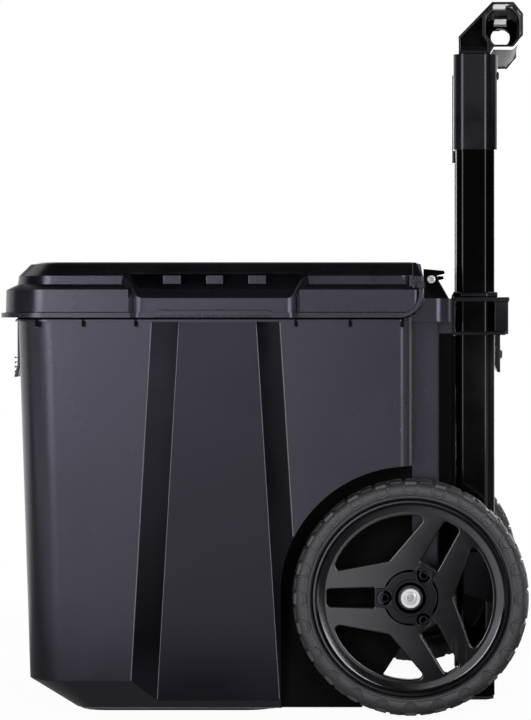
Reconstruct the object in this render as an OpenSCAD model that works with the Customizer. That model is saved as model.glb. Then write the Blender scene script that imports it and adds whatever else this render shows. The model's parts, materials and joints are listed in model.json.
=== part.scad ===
// Wheeled tennis ball machine: a drafted case with a hinged lid over a ball hopper,
// a two-wheel launcher behind a port in the front wall, two road wheels and a
// telescopic pull handle. Front is -X, +Z is up, and the ground is z = 0.

/* [Case] */
// Front face to rear corners of the case, at the rim
case_depth = 427; // [390:1:520]
// Width of the case at the rim
case_width = 480; // [440:1:580]
// Floor of the case to its rim
case_height = 424; // [350:1:510]
// Thickness of the moulded walls
wall = 3.5; // [2.5:0.5:4.5]
// How far each wall leans in from the rim to the floor
draft = 11; // [6:1:14]
// Radius of the two front corners
front_corner_r = 42; // [20:1:55]
// Radius of the two rear corners
rear_corner_r = 14; // [6:1:24]
// Height of the sloping band above the floor
base_slope_h = 34; // [24:1:42]
// Run of that slope at the front
base_slope_front = 48; // [30:1:58]
// Run of that slope at each side
base_slope_side = 34; // [24:1:42]
// Height of the floor above the ground
ground_gap = 3; // [2:0.5:6]
// How far the narrow rear spine stands behind the rear corners
spine_d = 27; // [22:1:34]
// How far the handle pad stands behind the spine
pad_d = 16; // [12:1:20]
// Width of the handle pad
pad_w = 304; // [290:1:330]
// Height of the rear rim above the case rim
deck_h = 21; // [16:1:26]
// Depth of the recessed panel in each side
panel_recess = 24; // [16:1:28]
// Width of the recessed panel at the rim
panel_top_w = 83; // [60:1:110]
// Width of the recessed panel at the floor
panel_base_w = 134; // [90:1:160]
// Run of the ramp beside the recessed panel
panel_ramp = 27; // [18:1:34]
// Front face to the middle of the recessed panel
panel_set = 217; // [190:1:235]
// Thickness of the rim flange
flange_t = 4; // [3:0.5:6]
// How far the rim flange stands out at the sides
flange_over = 4; // [2:0.5:5]

/* [Lid] */
// How far the lid lip stands in front of the case
lid_lip = 18.25; // [14:0.25:24]
// Height of the lid above the rim
lid_h = 60; // [54:1:72]
// How far the lid skirt stands out past the case at the sides
skirt_over = 6; // [5:0.5:9]
// How far the lid lip stands out past the skirt
lip_over = 4.5; // [3:0.5:6]
// Height of the skirt above the rim
skirt_h = 30; // [24:1:36]
// Width of the ledge above the skirt
ledge_w = 12; // [8:1:16]
// Thickness of the lid wall
lid_wall = 3; // [2.5:0.5:4]
// Length of the sloped grip scoop in each side of the lid
scoop_len = 188; // [150:1:220]
// Width of each small rib on the scoop
scoop_rib_w = 19; // [12:1:24]
// Spacing of the three ribs
scoop_rib_pitch = 45; // [35:1:55]
// Hinge axis above the rim
hinge_rise = 42; // [38:1:48]
// Radius of the hinge bolts
hinge_bolt_r = 3; // [2.5:0.5:4]
// Distance of each hinge from the middle
hinge_y = 172; // [150:1:180]
// Width of each front latch
latch_w = 60; // [40:1:70]
// Distance of each front latch from the middle
latch_y = 130; // [100:1:150]
// Length of each front latch
latch_len = 80; // [60:1:90]

/* [Handle] */
// Distance between the two handle tubes
tube_spacing = 243; // [225:1:262]
// Front-to-back depth of a tube
tube_d = 43; // [34:1:48]
// Width of a tube
tube_w = 28; // [22:1:32]
// Wall of a tube
tube_wall = 2; // [1.5:0.25:3]
// Front corner chamfer of a tube
tube_front_chamfer = 6; // [4:0.5:8]
// Rear corner chamfer of a tube
tube_rear_chamfer = 9; // [6:0.5:11]
// Gap between the pad and the tubes
tube_gap = 5; // [4:0.5:8]
// Top of the lock collars
collar_top = 720; // [690:1:860]
// Height of the lock collars
collar_h = 106; // [80:1:120]
// Wall of the lock collars
collar_wall = 3; // [2.5:0.5:4]
// How far the handle pulls out
handle_travel = 350; // [250:10:400]
// Height of the grip section
grip_h = 49; // [40:1:54]
// Front-to-back depth of the grip section
grip_d = 43; // [36:1:50]
// Wall of the hollow handle ends
elbow_wall = 2.5; // [2:0.5:4]
// Wall of the hollow grip
grip_wall = 2.5; // [2:0.5:4]
// Radius of the hole in the web at the middle of the grip
grip_bore_r = 11; // [8:0.5:11]

/* [Wheels] */
// Diameter of the road wheels over the tyre
wheel_d = 254; // [210:1:300]
// Width of the tyre
tyre_w = 46; // [36:1:54]
// Radius from the axle to the tyre seat, as a distance in from the tread
tyre_h = 21; // [16:1:26]
// How far the wheel faces stand out past the case sides
wheel_stand = 6; // [2:1:20]
// How far the axle lies ahead of the rear corners
axle_inset = 1.5; // [0:0.5:6]
// Radius of the axle
axle_r = 6.35; // [5:0.05:8]
// Gap between the tyre and the wheel arch
arch_gap = 14; // [10:1:18]
// Gap between the tyre and the wall of the wheel well
well_gap = 10; // [6:1:14]

/* [Launcher] */
// Diameter of a tennis ball
ball_d = 67; // [65:0.5:69]
// Diameter of the throwing wheels
throw_d = 150; // [120:1:155]
// Thickness of the throwing wheels
throw_t = 38; // [30:1:42]
// Squeeze of the ball between the throwing wheels
ball_squeeze = 15; // [8:1:18]
// Front face to the turning axis of the launcher
launcher_set = 127; // [120:1:135]
// Height of the tilt axis above the floor
tilt_rise = 102; // [96:1:115]
// Turn of the launcher each way in degrees
oscillation = 10; // [5:1:10]
// Tilt of the launcher in degrees
elevation = 30; // [15:1:30]
// Rim to the floor of the hopper
hopper_depth = 127; // [110:1:135]
// Radius of the feed carousel
carousel_r = 143; // [135:1:148]
// Number of ball pockets in the carousel
pockets = 5; // [4:1:5]
// Width of the ball port
port_w = 150; // [120:1:170]
// Height of the ball port
port_h = 165; // [120:1:175]
// Height of the ball port above the floor
port_rise = 119; // [100:1:130]

/* [Hidden] */
$fn = 64;
run = 0.3;      // gap between faces that slide past each other
shaft_gap = 0.05; // radial gap of a shaft in its bore
corner_steps = 8;

overall = lid_lip + case_depth - axle_inset + wheel_d / 2;
front_x = lid_lip - overall / 2;
rear_x = front_x + case_depth;
spine_x = rear_x + spine_d;
pad_x = spine_x + pad_d;
floor_z = ground_gap;
rim_z = ground_gap + case_height;
slope_z = floor_z + base_slope_h;
half_w = case_width / 2;
panel_x = front_x + panel_set;

wheel_face_y = half_w + wheel_stand;
wheel_r = wheel_d / 2;
wheel_x = rear_x - axle_inset;
well_y = wheel_face_y - tyre_w - well_gap;
arch_r = wheel_r + arch_gap;
rim_r = wheel_r - tyre_h;
hub_z0 = well_y + 3 + run - wheel_face_y + tyre_w / 2;
hub_z1 = tyre_w / 2 - 11;
window_r = rim_r - 18;
slot_r = 39;
cap_y0 = wheel_face_y - tyre_w / 2 + hub_z1 + run;
cap_y1 = cap_y0 + 7;

hinge_x = spine_x - 6.5;
hinge_z = rim_z + hinge_rise;
lid_rear = spine_x - 15;
lid_z = rim_z + run;
lid_top = rim_z + lid_h;

tube_x = pad_x + tube_gap + tube_d / 2;
tube_y = tube_spacing / 2;
tube_top = collar_top - 20;
tube_foot_z = ground_gap;

launcher_x = front_x + launcher_set;
tilt_z = floor_z + tilt_rise;
plate_z = tilt_z + 22;
plate_t = 5;
throw_z = plate_z + plate_t + ball_d / 2 + 2;
throw_y = (throw_d + ball_d - ball_squeeze) / 2;
throw_x = launcher_x - 10;
motor_r = 31;
motor_h = 70;

hopper_z = rim_z - hopper_depth;
pocket_r = ball_d / 2 + 4.5;
pocket_pcr = carousel_r - pocket_r - 10;
carousel_x = min(launcher_x + 48 + pocket_pcr, rear_x - wall - carousel_r - 8);
cup_wall = 3;
cup_gap = 3;
cup_h = 28;
cup_floor_z = hopper_z - cup_h;
chute_x = carousel_x - pocket_pcr;

// Points of a quarter arc, from angle a to a + 90, about (cx, cy)
function arc(cx, cy, r, a) =
    [for (k = [0:corner_steps])
        [cx + r * cos(a + 90 * k / corner_steps), cy + r * sin(a + 90 * k / corner_steps)]];

// Rounded outline from x0 to x1 and h each side of the middle, with front and rear corner radii
function outline(x0, x1, h, rf, rr) = concat(
    arc(x1 - rr, h - rr, rr, 0), arc(x0 + rf, h - rf, rf, 90),
    arc(x0 + rf, -h + rf, rf, 180), arc(x1 - rr, -h + rr, rr, 270));

function ring(points, z) = [for (p = points) [p[0], p[1], z]];

// Solid through a stack of rings with the same number of points, lowest first
module loft(rings) {
    n = len(rings[0]);
    top = (len(rings) - 1) * n;
    sides = [for (k = [0:len(rings) - 2], j = [0:n - 1]) let (a = k * n, b = a + n, i = (j + 1) % n)
        each [[a + j, b + j, b + i], [a + j, b + i, a + i]]];
    polyhedron(
        points = [for (r = rings) each r],
        faces = concat([[for (j = [0:n - 1]) j]], sides, [[for (j = [n - 1:-1:0]) top + j]]));
}

// Profile drawn in x and z, extruded across the machine from y0 to y1
module across(y0, y1) {
    translate([0, y1, 0]) rotate([90, 0, 0]) linear_extrude(y1 - y0) children();
}

// Profile drawn in y and z, extruded front to back from x0 to x1
module along(x0, x1) {
    translate([x0, 0, 0]) rotate([90, 0, 90]) linear_extrude(x1 - x0) children();
}

// Round bar across the machine from y0 to y1
module bar(x, z, r, y0, y1) {
    translate([x, y1, z]) rotate([90, 0, 0]) cylinder(r = r, h = y1 - y0);
}

module block(x0, x1, y0, y1, z0, z1) {
    translate([x0, y0, z0]) cube([x1 - x0, y1 - y0, z1 - z0]);
}

// The same shape on both sides of the middle
module both_sides() {
    children();
    mirror([0, 1, 0]) children();
}

// Lean of the side and front walls at height z, as a distance in from the rim
function lean(z) = draft * (rim_z - z) / (rim_z - slope_z);

// Tapered body of the case, with every face set in by i and the top at z1
module case_body(i, z1) {
    rf = front_corner_r - i;
    rr = rear_corner_r - i;
    foot_x = front_x + draft + base_slope_front + i;
    foot_h = half_w - draft - base_slope_side - i;
    loft([
        ring(outline(foot_x, rear_x - i, foot_h, rf * 0.6, rr), floor_z + i),
        ring(outline(front_x + draft + i, rear_x - i, half_w - draft - i, rf, rr), slope_z + i * 0.4),
        ring(outline(front_x + lean(z1) + i, rear_x - i, half_w - lean(z1) - i, rf, rr), z1)
    ]);
}

// Outline of one side recess at height z, set in by i
function panel_outline(z, i) =
    let (
        inner_y = half_w - panel_recess - lean(z) - i,
        outer_y = half_w + 12,
        share = (rim_z - z) / case_height,
        half = (panel_top_w + (panel_base_w - panel_top_w) * share) / 2 + i,
        spread = panel_ramp * (outer_y - inner_y) / panel_recess)
    [[panel_x - half, inner_y], [panel_x + half, inner_y],
     [panel_x + half + spread, outer_y], [panel_x - half - spread, outer_y]];

module side_recess(i, z1) {
    both_sides() loft([ring(panel_outline(floor_z - 2, i), floor_z - 2), ring(panel_outline(z1, i), z1)]);
}

module wheel_well(i) {
    both_sides() {
        bar(wheel_x, wheel_r, arch_r + i, well_y - i, half_w + 40);
        block(wheel_x - arch_r - i, rear_x + 60, well_y - i, half_w + 40, floor_z - 20, wheel_r);
    }
}

// Sloping underside behind the floor, between the wheels
module rear_slope(i) {
    across(-half_w - 20, half_w + 20) polygon([
        [rear_x - 63 - i * 1.2, floor_z - 12.4], [spine_x - i * 1.2, floor_z + 127],
        [pad_x + 60, floor_z + 90], [pad_x + 60, floor_z - 12.4]]);
}

module rear_spine(i) {
    block(rear_x - 50, spine_x - i, i - well_y, well_y - i, floor_z + i, rim_z - 2 * i);
    block(rear_x - 50, pad_x - i, i - pad_w / 2, pad_w / 2 - i, rim_z - 327 + i, rim_z - flange_t - i);
}

module case_form(i, z1) {
    difference() {
        union() {
            case_body(i, z1);
            rear_spine(i);
        }
        side_recess(i, i > 0 ? z1 + 2 : rim_z - flange_t);
        wheel_well(i);
        rear_slope(i);
    }
}

module rim_flange() {
    loft([
        ring(outline(front_x - 3, rear_x, half_w + flange_over, front_corner_r, rear_corner_r),
            rim_z - flange_t),
        ring(outline(front_x - 3, rear_x, half_w + flange_over, front_corner_r, rear_corner_r), rim_z)]);
}

module rim_gussets() {
    for (x = [26, 76, 132, 303, 361, 417]) both_sides()
        block(front_x + x - 1.5, front_x + x + 1.5, half_w - 3, half_w + flange_over - 0.5,
            rim_z - 15, rim_z - flange_t);
}

// Raised rear rim that carries the hinge ears, hollow from below
module rear_deck() {
    difference() {
        translate([0, 0, rim_z - flange_t]) linear_extrude(deck_h + flange_t)
            polygon(outline(rear_x - 8, pad_x, well_y + 15, 2, 18));
        bar(lid_rear - 25, lid_z + 25, 27, -half_w, half_w);
        translate([0, 0, rim_z - flange_t - 1]) linear_extrude(deck_h + flange_t + 1 - wall)
            polygon(outline(lid_rear + 5, pad_x - wall, well_y + 15 - wall, 2, 15));
    }
}

module case_shell() {
    color([0.1, 0.1, 0.11]) difference() {
        union() {
            difference() {
                union() {
                    case_form(0, rim_z);
                    rim_flange();
                }
                case_form(wall, rim_z + 1);
            }
            rim_gussets();
            rear_deck();
        }
        block(front_x - 20, front_x + 60, -port_w / 2, port_w / 2,
            floor_z + port_rise, floor_z + port_rise + port_h);
        bar(wheel_x, wheel_r, axle_r + 3, -half_w, half_w);
    }
}

module rubber_feet() {
    color([0.05, 0.05, 0.05]) both_sides()
        translate([front_x + draft + base_slope_front + 32, half_w - 100, 0])
            cylinder(r = 18, h = ground_gap);
}

// Frame round the ball port, lying on the leaning front face
module ball_port_bezel() {
    tilt = atan(draft / (rim_z - slope_z));
    mid_z = floor_z + port_rise + port_h / 2;
    color([0.07, 0.07, 0.075]) translate([front_x + lean(mid_z) - 0.02, 0, mid_z])
        rotate([0, -tilt, 0]) difference() {
        block(-4, 0, -port_w / 2 - 12, port_w / 2 + 12, -port_h / 2 - 12, port_h / 2 + 12);
        block(-5, 1, -port_w / 2, port_w / 2, -port_h / 2, port_h / 2);
    }
}

module hinge_ear(y0, y1) {
    across(y0, y1) union() {
        translate([hinge_x, hinge_z]) circle(r = 7.5);
        polygon([[hinge_x - 5, rim_z + deck_h], [pad_x - 3, rim_z + deck_h],
                 [hinge_x + 7.4, hinge_z], [hinge_x - 7.4, hinge_z]]);
    }
}

module hinge_ears() {
    color([0.08, 0.08, 0.085]) both_sides() difference() {
        union() {
            hinge_ear(hinge_y + 10, hinge_y + 15);
            hinge_ear(hinge_y - 15, hinge_y - 10);
        }
        bar(hinge_x, hinge_z, hinge_bolt_r, hinge_y - 20, hinge_y + 20);
    }
}

module hinge_bolts() {
    color([0.7, 0.7, 0.72]) both_sides() {
        bar(hinge_x, hinge_z, hinge_bolt_r, hinge_y - 17, hinge_y + 15);
        bar(hinge_x, hinge_z, hinge_bolt_r + 1.6, hinge_y + 15, hinge_y + 17.5);
        bar(hinge_x, hinge_z, hinge_bolt_r + 1.6, hinge_y - 17.5, hinge_y - 15);
    }
}

latch_x = front_x - 5.75;
latch_z = rim_z + 10;
catch_z = rim_z - 24;

module latch_catches() {
    color([0.1, 0.1, 0.11]) both_sides() across(latch_y - 18, latch_y + 18) polygon([
        [front_x - 3.5, catch_z - 10], [front_x + lean(catch_z - 10), catch_z - 10],
        [front_x + lean(catch_z), catch_z], [front_x - 3.5, catch_z]]);
}

// Lid outline at one step: in is the distance in from the skirt, back the distance in from the rear
function lid_ring(in, back, z) =
    ring(outline(front_x - lid_lip + lip_over + in, lid_rear - back, half_w + skirt_over - in,
        front_corner_r + 6 - in * 0.5, 10), z);

module lid_corner(r) {
    difference() {
        block(lid_rear - 25, lid_rear + 10, -half_w - 30, half_w + 30, lid_z - 5, lid_z + 25);
        bar(lid_rear - 25, lid_z + 25, r, -half_w - 31, half_w + 31);
    }
}

module lid_outer() {
    difference() {
        loft([
            lid_ring(-lip_over, 0, lid_z), lid_ring(-lip_over, 0, lid_z + 5),
            lid_ring(0, 0, lid_z + 6), lid_ring(0.5, 0, rim_z + skirt_h),
            lid_ring(ledge_w, 0, rim_z + skirt_h + 6), lid_ring(ledge_w + 1, 0, rim_z + skirt_h + 15),
            lid_ring(ledge_w + 13, 3, lid_top - 2), lid_ring(ledge_w + 20, 8, lid_top)]);
        lid_corner(25);
    }
}

module lid_inner() {
    t = lid_wall;
    difference() {
        loft([
            lid_ring(t, t, lid_z - 1), lid_ring(t + 0.5, t, rim_z + skirt_h - t),
            lid_ring(ledge_w + t, t, rim_z + skirt_h + 6 - t),
            lid_ring(ledge_w + 1 + t, t, rim_z + skirt_h + 14 - t * 0.5),
            lid_ring(ledge_w + 14 + t, 3 + t, lid_top - 2 - t),
            lid_ring(ledge_w + 20 + t, 8 + t, lid_top - t)]);
        lid_corner(25 - t);
    }
}

scoop_x = panel_x + 1;
skirt_y = half_w + skirt_over;

module lid_scoops() {
    both_sides() {
        along(scoop_x - scoop_len / 2, scoop_x + scoop_len / 2) polygon([
            [skirt_y - 2.5, rim_z + 21], [skirt_y - 0.2, rim_z + 21],
            [skirt_y - ledge_w - 1, rim_z + skirt_h + 17],
            [skirt_y - ledge_w - 2.5, rim_z + skirt_h + 17]]);
        for (x = [scoop_x - scoop_rib_pitch, scoop_x, scoop_x + scoop_rib_pitch])
            along(x - scoop_rib_w / 2, x + scoop_rib_w / 2) polygon([
                [skirt_y - 9, rim_z + 36], [skirt_y - 4.5, rim_z + 36],
                [skirt_y - 5, rim_z + 45], [skirt_y - 12, rim_z + 45]]);
    }
}

// Corner of the skirt that each scoop slopes away
module scoop_cut() {
    both_sides() along(scoop_x - scoop_len / 2, scoop_x + scoop_len / 2) polygon([
        [skirt_y - 0.2, rim_z + 21], [skirt_y + 5, rim_z + 21], [skirt_y + 5, rim_z + skirt_h + 5],
        [skirt_y - 7.5, rim_z + skirt_h + 5]]);
}

module lid_shell() {
    color([0.1, 0.1, 0.11]) difference() {
        union() {
            difference() {
                lid_outer();
                lid_inner();
                scoop_cut();
            }
            lid_scoops();
            both_sides() block(front_x - lid_lip + lip_over + 1, front_x + 5,
                latch_y - latch_w / 2 - 5, latch_y + latch_w / 2 + 5, lid_z, lid_z + 24);
        }
        both_sides() block(front_x - lid_lip - 5, front_x + 1,
            latch_y - latch_w / 2 - run, latch_y + latch_w / 2 + run, lid_z - 1, lid_z + 20);
        both_sides() bar(latch_x, latch_z, 2, latch_y - latch_w / 2 - 4, latch_y + latch_w / 2 + 4);
    }
}

module lid_hinge_leaves() {
    color([0.08, 0.08, 0.085]) both_sides() difference() {
        across(hinge_y - 9.7, hinge_y + 9.7) union() {
            translate([hinge_x, hinge_z]) circle(r = 6.5);
            polygon([[lid_rear, hinge_z - 6], [hinge_x, hinge_z - 6.4],
                     [hinge_x, hinge_z + 6.4], [lid_rear, hinge_z + 6]]);
            polygon([[lid_rear, hinge_z], [lid_rear, hinge_z + 11.5], [hinge_x + 14, hinge_z + 9.5],
                     [hinge_x + 15, hinge_z + 6], [hinge_x + 4, hinge_z + 3]]);
        }
        bar(hinge_x, hinge_z, hinge_bolt_r + shaft_gap, hinge_y - 20, hinge_y + 20);
    }
}

module lid_seal() {
    color([0.05, 0.05, 0.05]) difference() {
        loft([lid_ring(lid_wall + 0.1, lid_wall + 27, lid_z),
            lid_ring(lid_wall + 0.1, lid_wall + 27, lid_z + 4)]);
        loft([lid_ring(lid_wall + 4, lid_wall + 31, lid_z - 1),
            lid_ring(lid_wall + 4, lid_wall + 31, lid_z + 5)]);
        both_sides() block(front_x - lid_lip - 5, front_x + 6,
            latch_y - latch_w / 2 - 5, latch_y + latch_w / 2 + 5, lid_z - 1, lid_z + 25);
    }
}

module latch_pins() {
    color([0.7, 0.7, 0.72]) both_sides()
        bar(latch_x, latch_z, 2, latch_y - latch_w / 2 - 4, latch_y + latch_w / 2 + 4);
}

// Draw latch that hangs from the lid and hooks under a catch on the case
module latch(side) {
    foot_z = latch_z + 5 - latch_len;
    mid = side * latch_y;
    color([0.07, 0.07, 0.075]) difference() {
        union() {
            bar(latch_x, latch_z, 5, mid - latch_w / 2, mid + latch_w / 2);
            across(mid - latch_w / 2, mid + latch_w / 2) polygon([
                [latch_x + 1.5, latch_z], [latch_x - 2.2, latch_z], [latch_x - 2.2, foot_z + 14],
                [latch_x - 6, foot_z], [latch_x - 2.5, foot_z], [latch_x + 1.5, foot_z + 14]]);
            across(mid - 17, mid + 17) polygon([
                [latch_x - 1, catch_z - 11], [latch_x + 4.5, catch_z - 11],
                [latch_x + 4.5, catch_z - 13.5], [latch_x - 1, catch_z - 18]]);
        }
        bar(latch_x, latch_z, 2 + shaft_gap, mid - latch_w, mid + latch_w);
    }
}

module latch_left() { latch(-1); }
module latch_right() { latch(1); }

// Tube section about its own middle, with front chamfers cf and rear chamfers cr
module tube_section(d, w, cf, cr) {
    polygon([
        [d / 2, cr - w / 2], [d / 2, w / 2 - cr], [d / 2 - cr, w / 2], [cf - d / 2, w / 2],
        [-d / 2, w / 2 - cf], [-d / 2, cf - w / 2], [cf - d / 2, -w / 2], [d / 2 - cr, -w / 2]]);
}

// Tube of the handle grown by g all round, from z0 to z1, on the side given
module tube_bar(side, g, z0, z1) {
    translate([tube_x, side * tube_y, z0]) linear_extrude(z1 - z0)
        tube_section(tube_d + 2 * g, tube_w + 2 * g,
            tube_front_chamfer + g * 0.6, tube_rear_chamfer + g * 0.6);
}

module outer_tube(side) {
    color([0.12, 0.12, 0.13]) difference() {
        tube_bar(side, 0, tube_foot_z + 4, tube_top);
        tube_bar(side, -tube_wall, tube_foot_z, tube_top + 1);
    }
}

module outer_tube_left() { outer_tube(-1); }
module outer_tube_right() { outer_tube(1); }

module tube_feet() {
    color([0.05, 0.05, 0.05]) for (side = [-1, 1]) {
        tube_bar(side, -1, tube_foot_z, tube_foot_z + 4);
        tube_bar(side, -tube_wall, tube_foot_z + 4, tube_foot_z + 24);
    }
}

module lock_collars() {
    color([0.09, 0.09, 0.095]) for (side = [-1, 1]) {
        difference() {
            tube_bar(side, collar_wall, collar_top - collar_h, collar_top);
            tube_bar(side, 0, collar_top - collar_h - 1, tube_top);
            tube_bar(side, run - tube_wall - slide_gap, tube_top - 1, collar_top + 1);
        }
    }
}

module collar_rivets() {
    color([0.6, 0.6, 0.62]) for (side = [-1, 1])
        translate([tube_x + tube_d / 2 + collar_wall, side * tube_y, collar_top - 23]) rotate([0, 90, 0])
            cylinder(r1 = 5, r2 = 3.5, h = 2);
}

elbow_z = collar_top + run;
grip_x = tube_x + 31;
grip_z = collar_top + 33;
inner_top = collar_top + 8;
inner_foot = tube_top - 570;
slide_gap = 3;

module inner_tubes() {
    color([0.7, 0.7, 0.72]) for (side = [-1, 1]) difference() {
        tube_bar(side, -tube_wall - slide_gap, inner_foot, inner_top);
        tube_bar(side, -tube_wall - slide_gap - 1.5, inner_foot - 1, inner_top + 1);
    }
}

module tube_glides() {
    color([0.06, 0.06, 0.065]) for (side = [-1, 1]) {
        tube_bar(side, -tube_wall - run, inner_foot - 12, inner_foot);
        tube_bar(side, -tube_wall - slide_gap - 1.5, inner_foot, inner_foot + 16);
    }
}

// Eight-sided section of the grip about its own middle, grown by g
module grip_section(g) {
    d = grip_d / 2 + g;
    h = grip_h / 2 + g;
    polygon([[d, -h * 0.48], [d, h * 0.48], [d * 0.52, h], [-d * 0.52, h],
             [-d, h * 0.48], [-d, -h * 0.48], [-d * 0.52, -h], [d * 0.52, -h]]);
}

// Handle end: a post over the inner tube that leans back to the grip section
module handle_elbow(side) {
    y0 = tube_y - tube_w / 2;
    y1 = tube_y + tube_w / 2;
    color([0.1, 0.1, 0.105]) mirror([0, side > 0 ? 0 : 1, 0]) difference() {
        union() {
            across(y0, y1) polygon([
                [tube_x - 18.8, elbow_z], [tube_x - 18.8, elbow_z + 19],
                [tube_x + 18.2, grip_z + grip_h / 2 + 0.5],
                [grip_x, grip_z + grip_h / 2 + 0.5], [grip_x, grip_z - grip_h / 2 - 0.5],
                [tube_x + 20.7, grip_z - grip_h / 2 - 0.5],
                [tube_x + 16.9, elbow_z + 1.2], [tube_x + 16.9, elbow_z]]);
            across(y0, y1) translate([grip_x, grip_z]) grip_section(0.5);
        }
        across(y0 - 1, y1 + 1) translate([grip_x, grip_z]) grip_section(0.5 - elbow_wall);
        block(grip_x - 12, grip_x + 3, y1 - 16, y1 - 3, grip_z, grip_z + grip_h);
        across(y1 - 3, y1 + 1) polygon([
            [tube_x - 14.8, elbow_z + 4], [tube_x - 14.8, elbow_z + 17], [tube_x + 4, grip_z + 3],
            [tube_x + 6, grip_z - 12], [tube_x + 13, elbow_z + 4]]);
        tube_bar(1, -tube_wall - slide_gap, elbow_z - 1, inner_top);
    }
}

module handle_elbow_left() { handle_elbow(-1); }
module handle_elbow_right() { handle_elbow(1); }

button_l = 52;
button_w = 15;
button_top = grip_z + grip_h / 2 + 2;

module grip() {
    reach = tube_y - tube_w / 2;
    color([0.6, 0.6, 0.61]) difference() {
        across(-reach, reach) translate([grip_x, grip_z]) grip_section(-1);
        both_sides() across(2, reach + 1) translate([grip_x, grip_z]) grip_section(-1 - grip_wall);
        bar(grip_x, grip_z, grip_bore_r, -5, 5);
        block(grip_x - button_w / 2, grip_x + button_w / 2, -button_l / 2, button_l / 2,
            button_top - 14, button_top + 5);
    }
}

module release_button() {
    color([0.75, 0.75, 0.76]) block(grip_x - button_w / 2 + run, grip_x + button_w / 2 - run,
        run - button_l / 2, button_l / 2 - run, button_top - 8, button_top);
}

bracket_top = rim_z + 23;
bracket_foot = rim_z - 19;
bracket_y = tube_y + tube_w / 2 + 6.5;
bracket_x = tube_x + tube_d / 2 + 16;

module handle_bracket() {
    rib_y = tube_y - tube_w / 2 - 8;
    color([0.08, 0.08, 0.085]) difference() {
        union() {
            block(pad_x, bracket_x, -bracket_y, bracket_y, bracket_top - 5, bracket_top);
            block(pad_x, bracket_x - 4, -bracket_y, bracket_y, bracket_foot, bracket_foot + 4);
            block(pad_x, pad_x + 4, -bracket_y, bracket_y, bracket_foot, bracket_top);
            block(bracket_x - 16, bracket_x - 1, 5 - bracket_y, bracket_y - 5,
                bracket_foot + 1, bracket_top - 1);
            across(-rib_y, rib_y) polygon([
                [bracket_x - 14, bracket_foot - 34], [bracket_x - 12, bracket_foot - 42],
                [bracket_x - 9, bracket_foot - 42],
                [bracket_x - 9, bracket_foot + 4], [bracket_x - 14, bracket_foot + 4]]);
        }
        for (side = [-1, 1]) tube_bar(side, 0, bracket_foot - 1, bracket_top + 1);
    }
}

module bracket_sleeves() {
    color([0.1, 0.1, 0.105]) for (side = [-1, 1]) difference() {
        tube_bar(side, 3.5, bracket_top, bracket_top + 6);
        tube_bar(side, 0, bracket_top - 1, bracket_top + 7);
    }
}

module bracket_bolts() {
    color([0.6, 0.6, 0.62]) for (y = [-70, 70])
        translate([bracket_x - 9, y, bracket_foot - 22]) rotate([0, 90, 0])
        cylinder(r1 = 5.5, r2 = 4, h = 3);
}

pad_foot_z = rim_z - 305;

// Hooked clamp that holds each tube to the pad near its foot
module lower_tube_clamps() {
    z0 = pad_foot_z - 11;
    out0 = tube_y + tube_w / 2;
    in0 = tube_y - tube_w / 2;
    rear = tube_x + tube_d / 2;
    color([0.08, 0.08, 0.085]) both_sides() {
        across(out0, out0 + 6) polygon([
            [tube_x - 13, z0 + 10], [rear - 2, z0], [rear + 6, z0 + 8],
            [rear + 6, z0 + 52], [rear, z0 + 57], [tube_x - 13, z0 + 57]]);
        block(rear, rear + 6, in0 - 6, out0 + 6, z0 + 9, z0 + 51);
        block(pad_x, rear + 6, in0 - 6, in0, z0 + 9, z0 + 51);
    }
}

module axle() {
    color([0.7, 0.7, 0.72]) bar(wheel_x, wheel_r, axle_r, 2 - cap_y1, cap_y1 - 2);
}

module axle_bushes() {
    color([0.06, 0.06, 0.065]) both_sides() difference() {
        union() {
            bar(wheel_x, wheel_r, axle_r + 3, well_y - wall - 4, well_y + 1);
            bar(wheel_x, wheel_r, 16, well_y, well_y + 3);
        }
        bar(wheel_x, wheel_r, axle_r, well_y - 20, well_y + 20);
    }
}

module axle_caps() {
    color([0.8, 0.8, 0.82]) both_sides() difference() {
        bar(wheel_x, wheel_r, 10.7, cap_y0, cap_y1);
        bar(wheel_x, wheel_r, axle_r, cap_y0 - 1, cap_y1 - 2);
    }
}

// Places a wheel part drawn about z, with z up pointing out of the wheel face, on one side
module on_wheel(side) {
    mirror([0, side > 0 ? 0 : 1, 0]) translate([wheel_x, wheel_face_y - tyre_w / 2, wheel_r])
        rotate([-90, 0, 0]) children();
}

module wheel_rim(side) {
    h = tyre_w / 2;
    color([0.75, 0.75, 0.76]) on_wheel(side) difference() {
        union() {
            rotate_extrude() polygon([
                [rim_r - 8, 2 - h], [rim_r, 2 - h], [rim_r, h - 3], [rim_r - 5, h - 1],
                [rim_r - 9, h - 4], [rim_r - 14, h - 12], [34, h - 12], [33, hub_z1], [axle_r + 4, hub_z1],
                [axle_r + 4, hub_z0], [20, hub_z0], [24, h - 22], [rim_r - 8, h - 22]]);
            translate([0, 0, hub_z0]) cylinder(r = axle_r + 6, h = hub_z1 - hub_z0);
        }
        for (a = [0, 120, 240]) rotate(a) translate([0, 0, -tyre_w]) linear_extrude(2 * tyre_w) polygon(
            concat([[window_r * 0.55, 0]],
                [for (k = [-10:10]) [window_r * cos(k * 4.1), window_r * sin(k * 4.1)]]));
        for (a = [60, 180, 300]) rotate(a) translate([slot_r, -9.5, -tyre_w])
            cube([rim_r - 15 - slot_r, 19, 2 * tyre_w]);
        translate([0, 0, hub_z0 - 1]) cylinder(r = axle_r + shaft_gap, h = hub_z1 - hub_z0 + 2);
    }
}

module wheel_rim_left() { wheel_rim(-1); }
module wheel_rim_right() { wheel_rim(1); }

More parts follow.
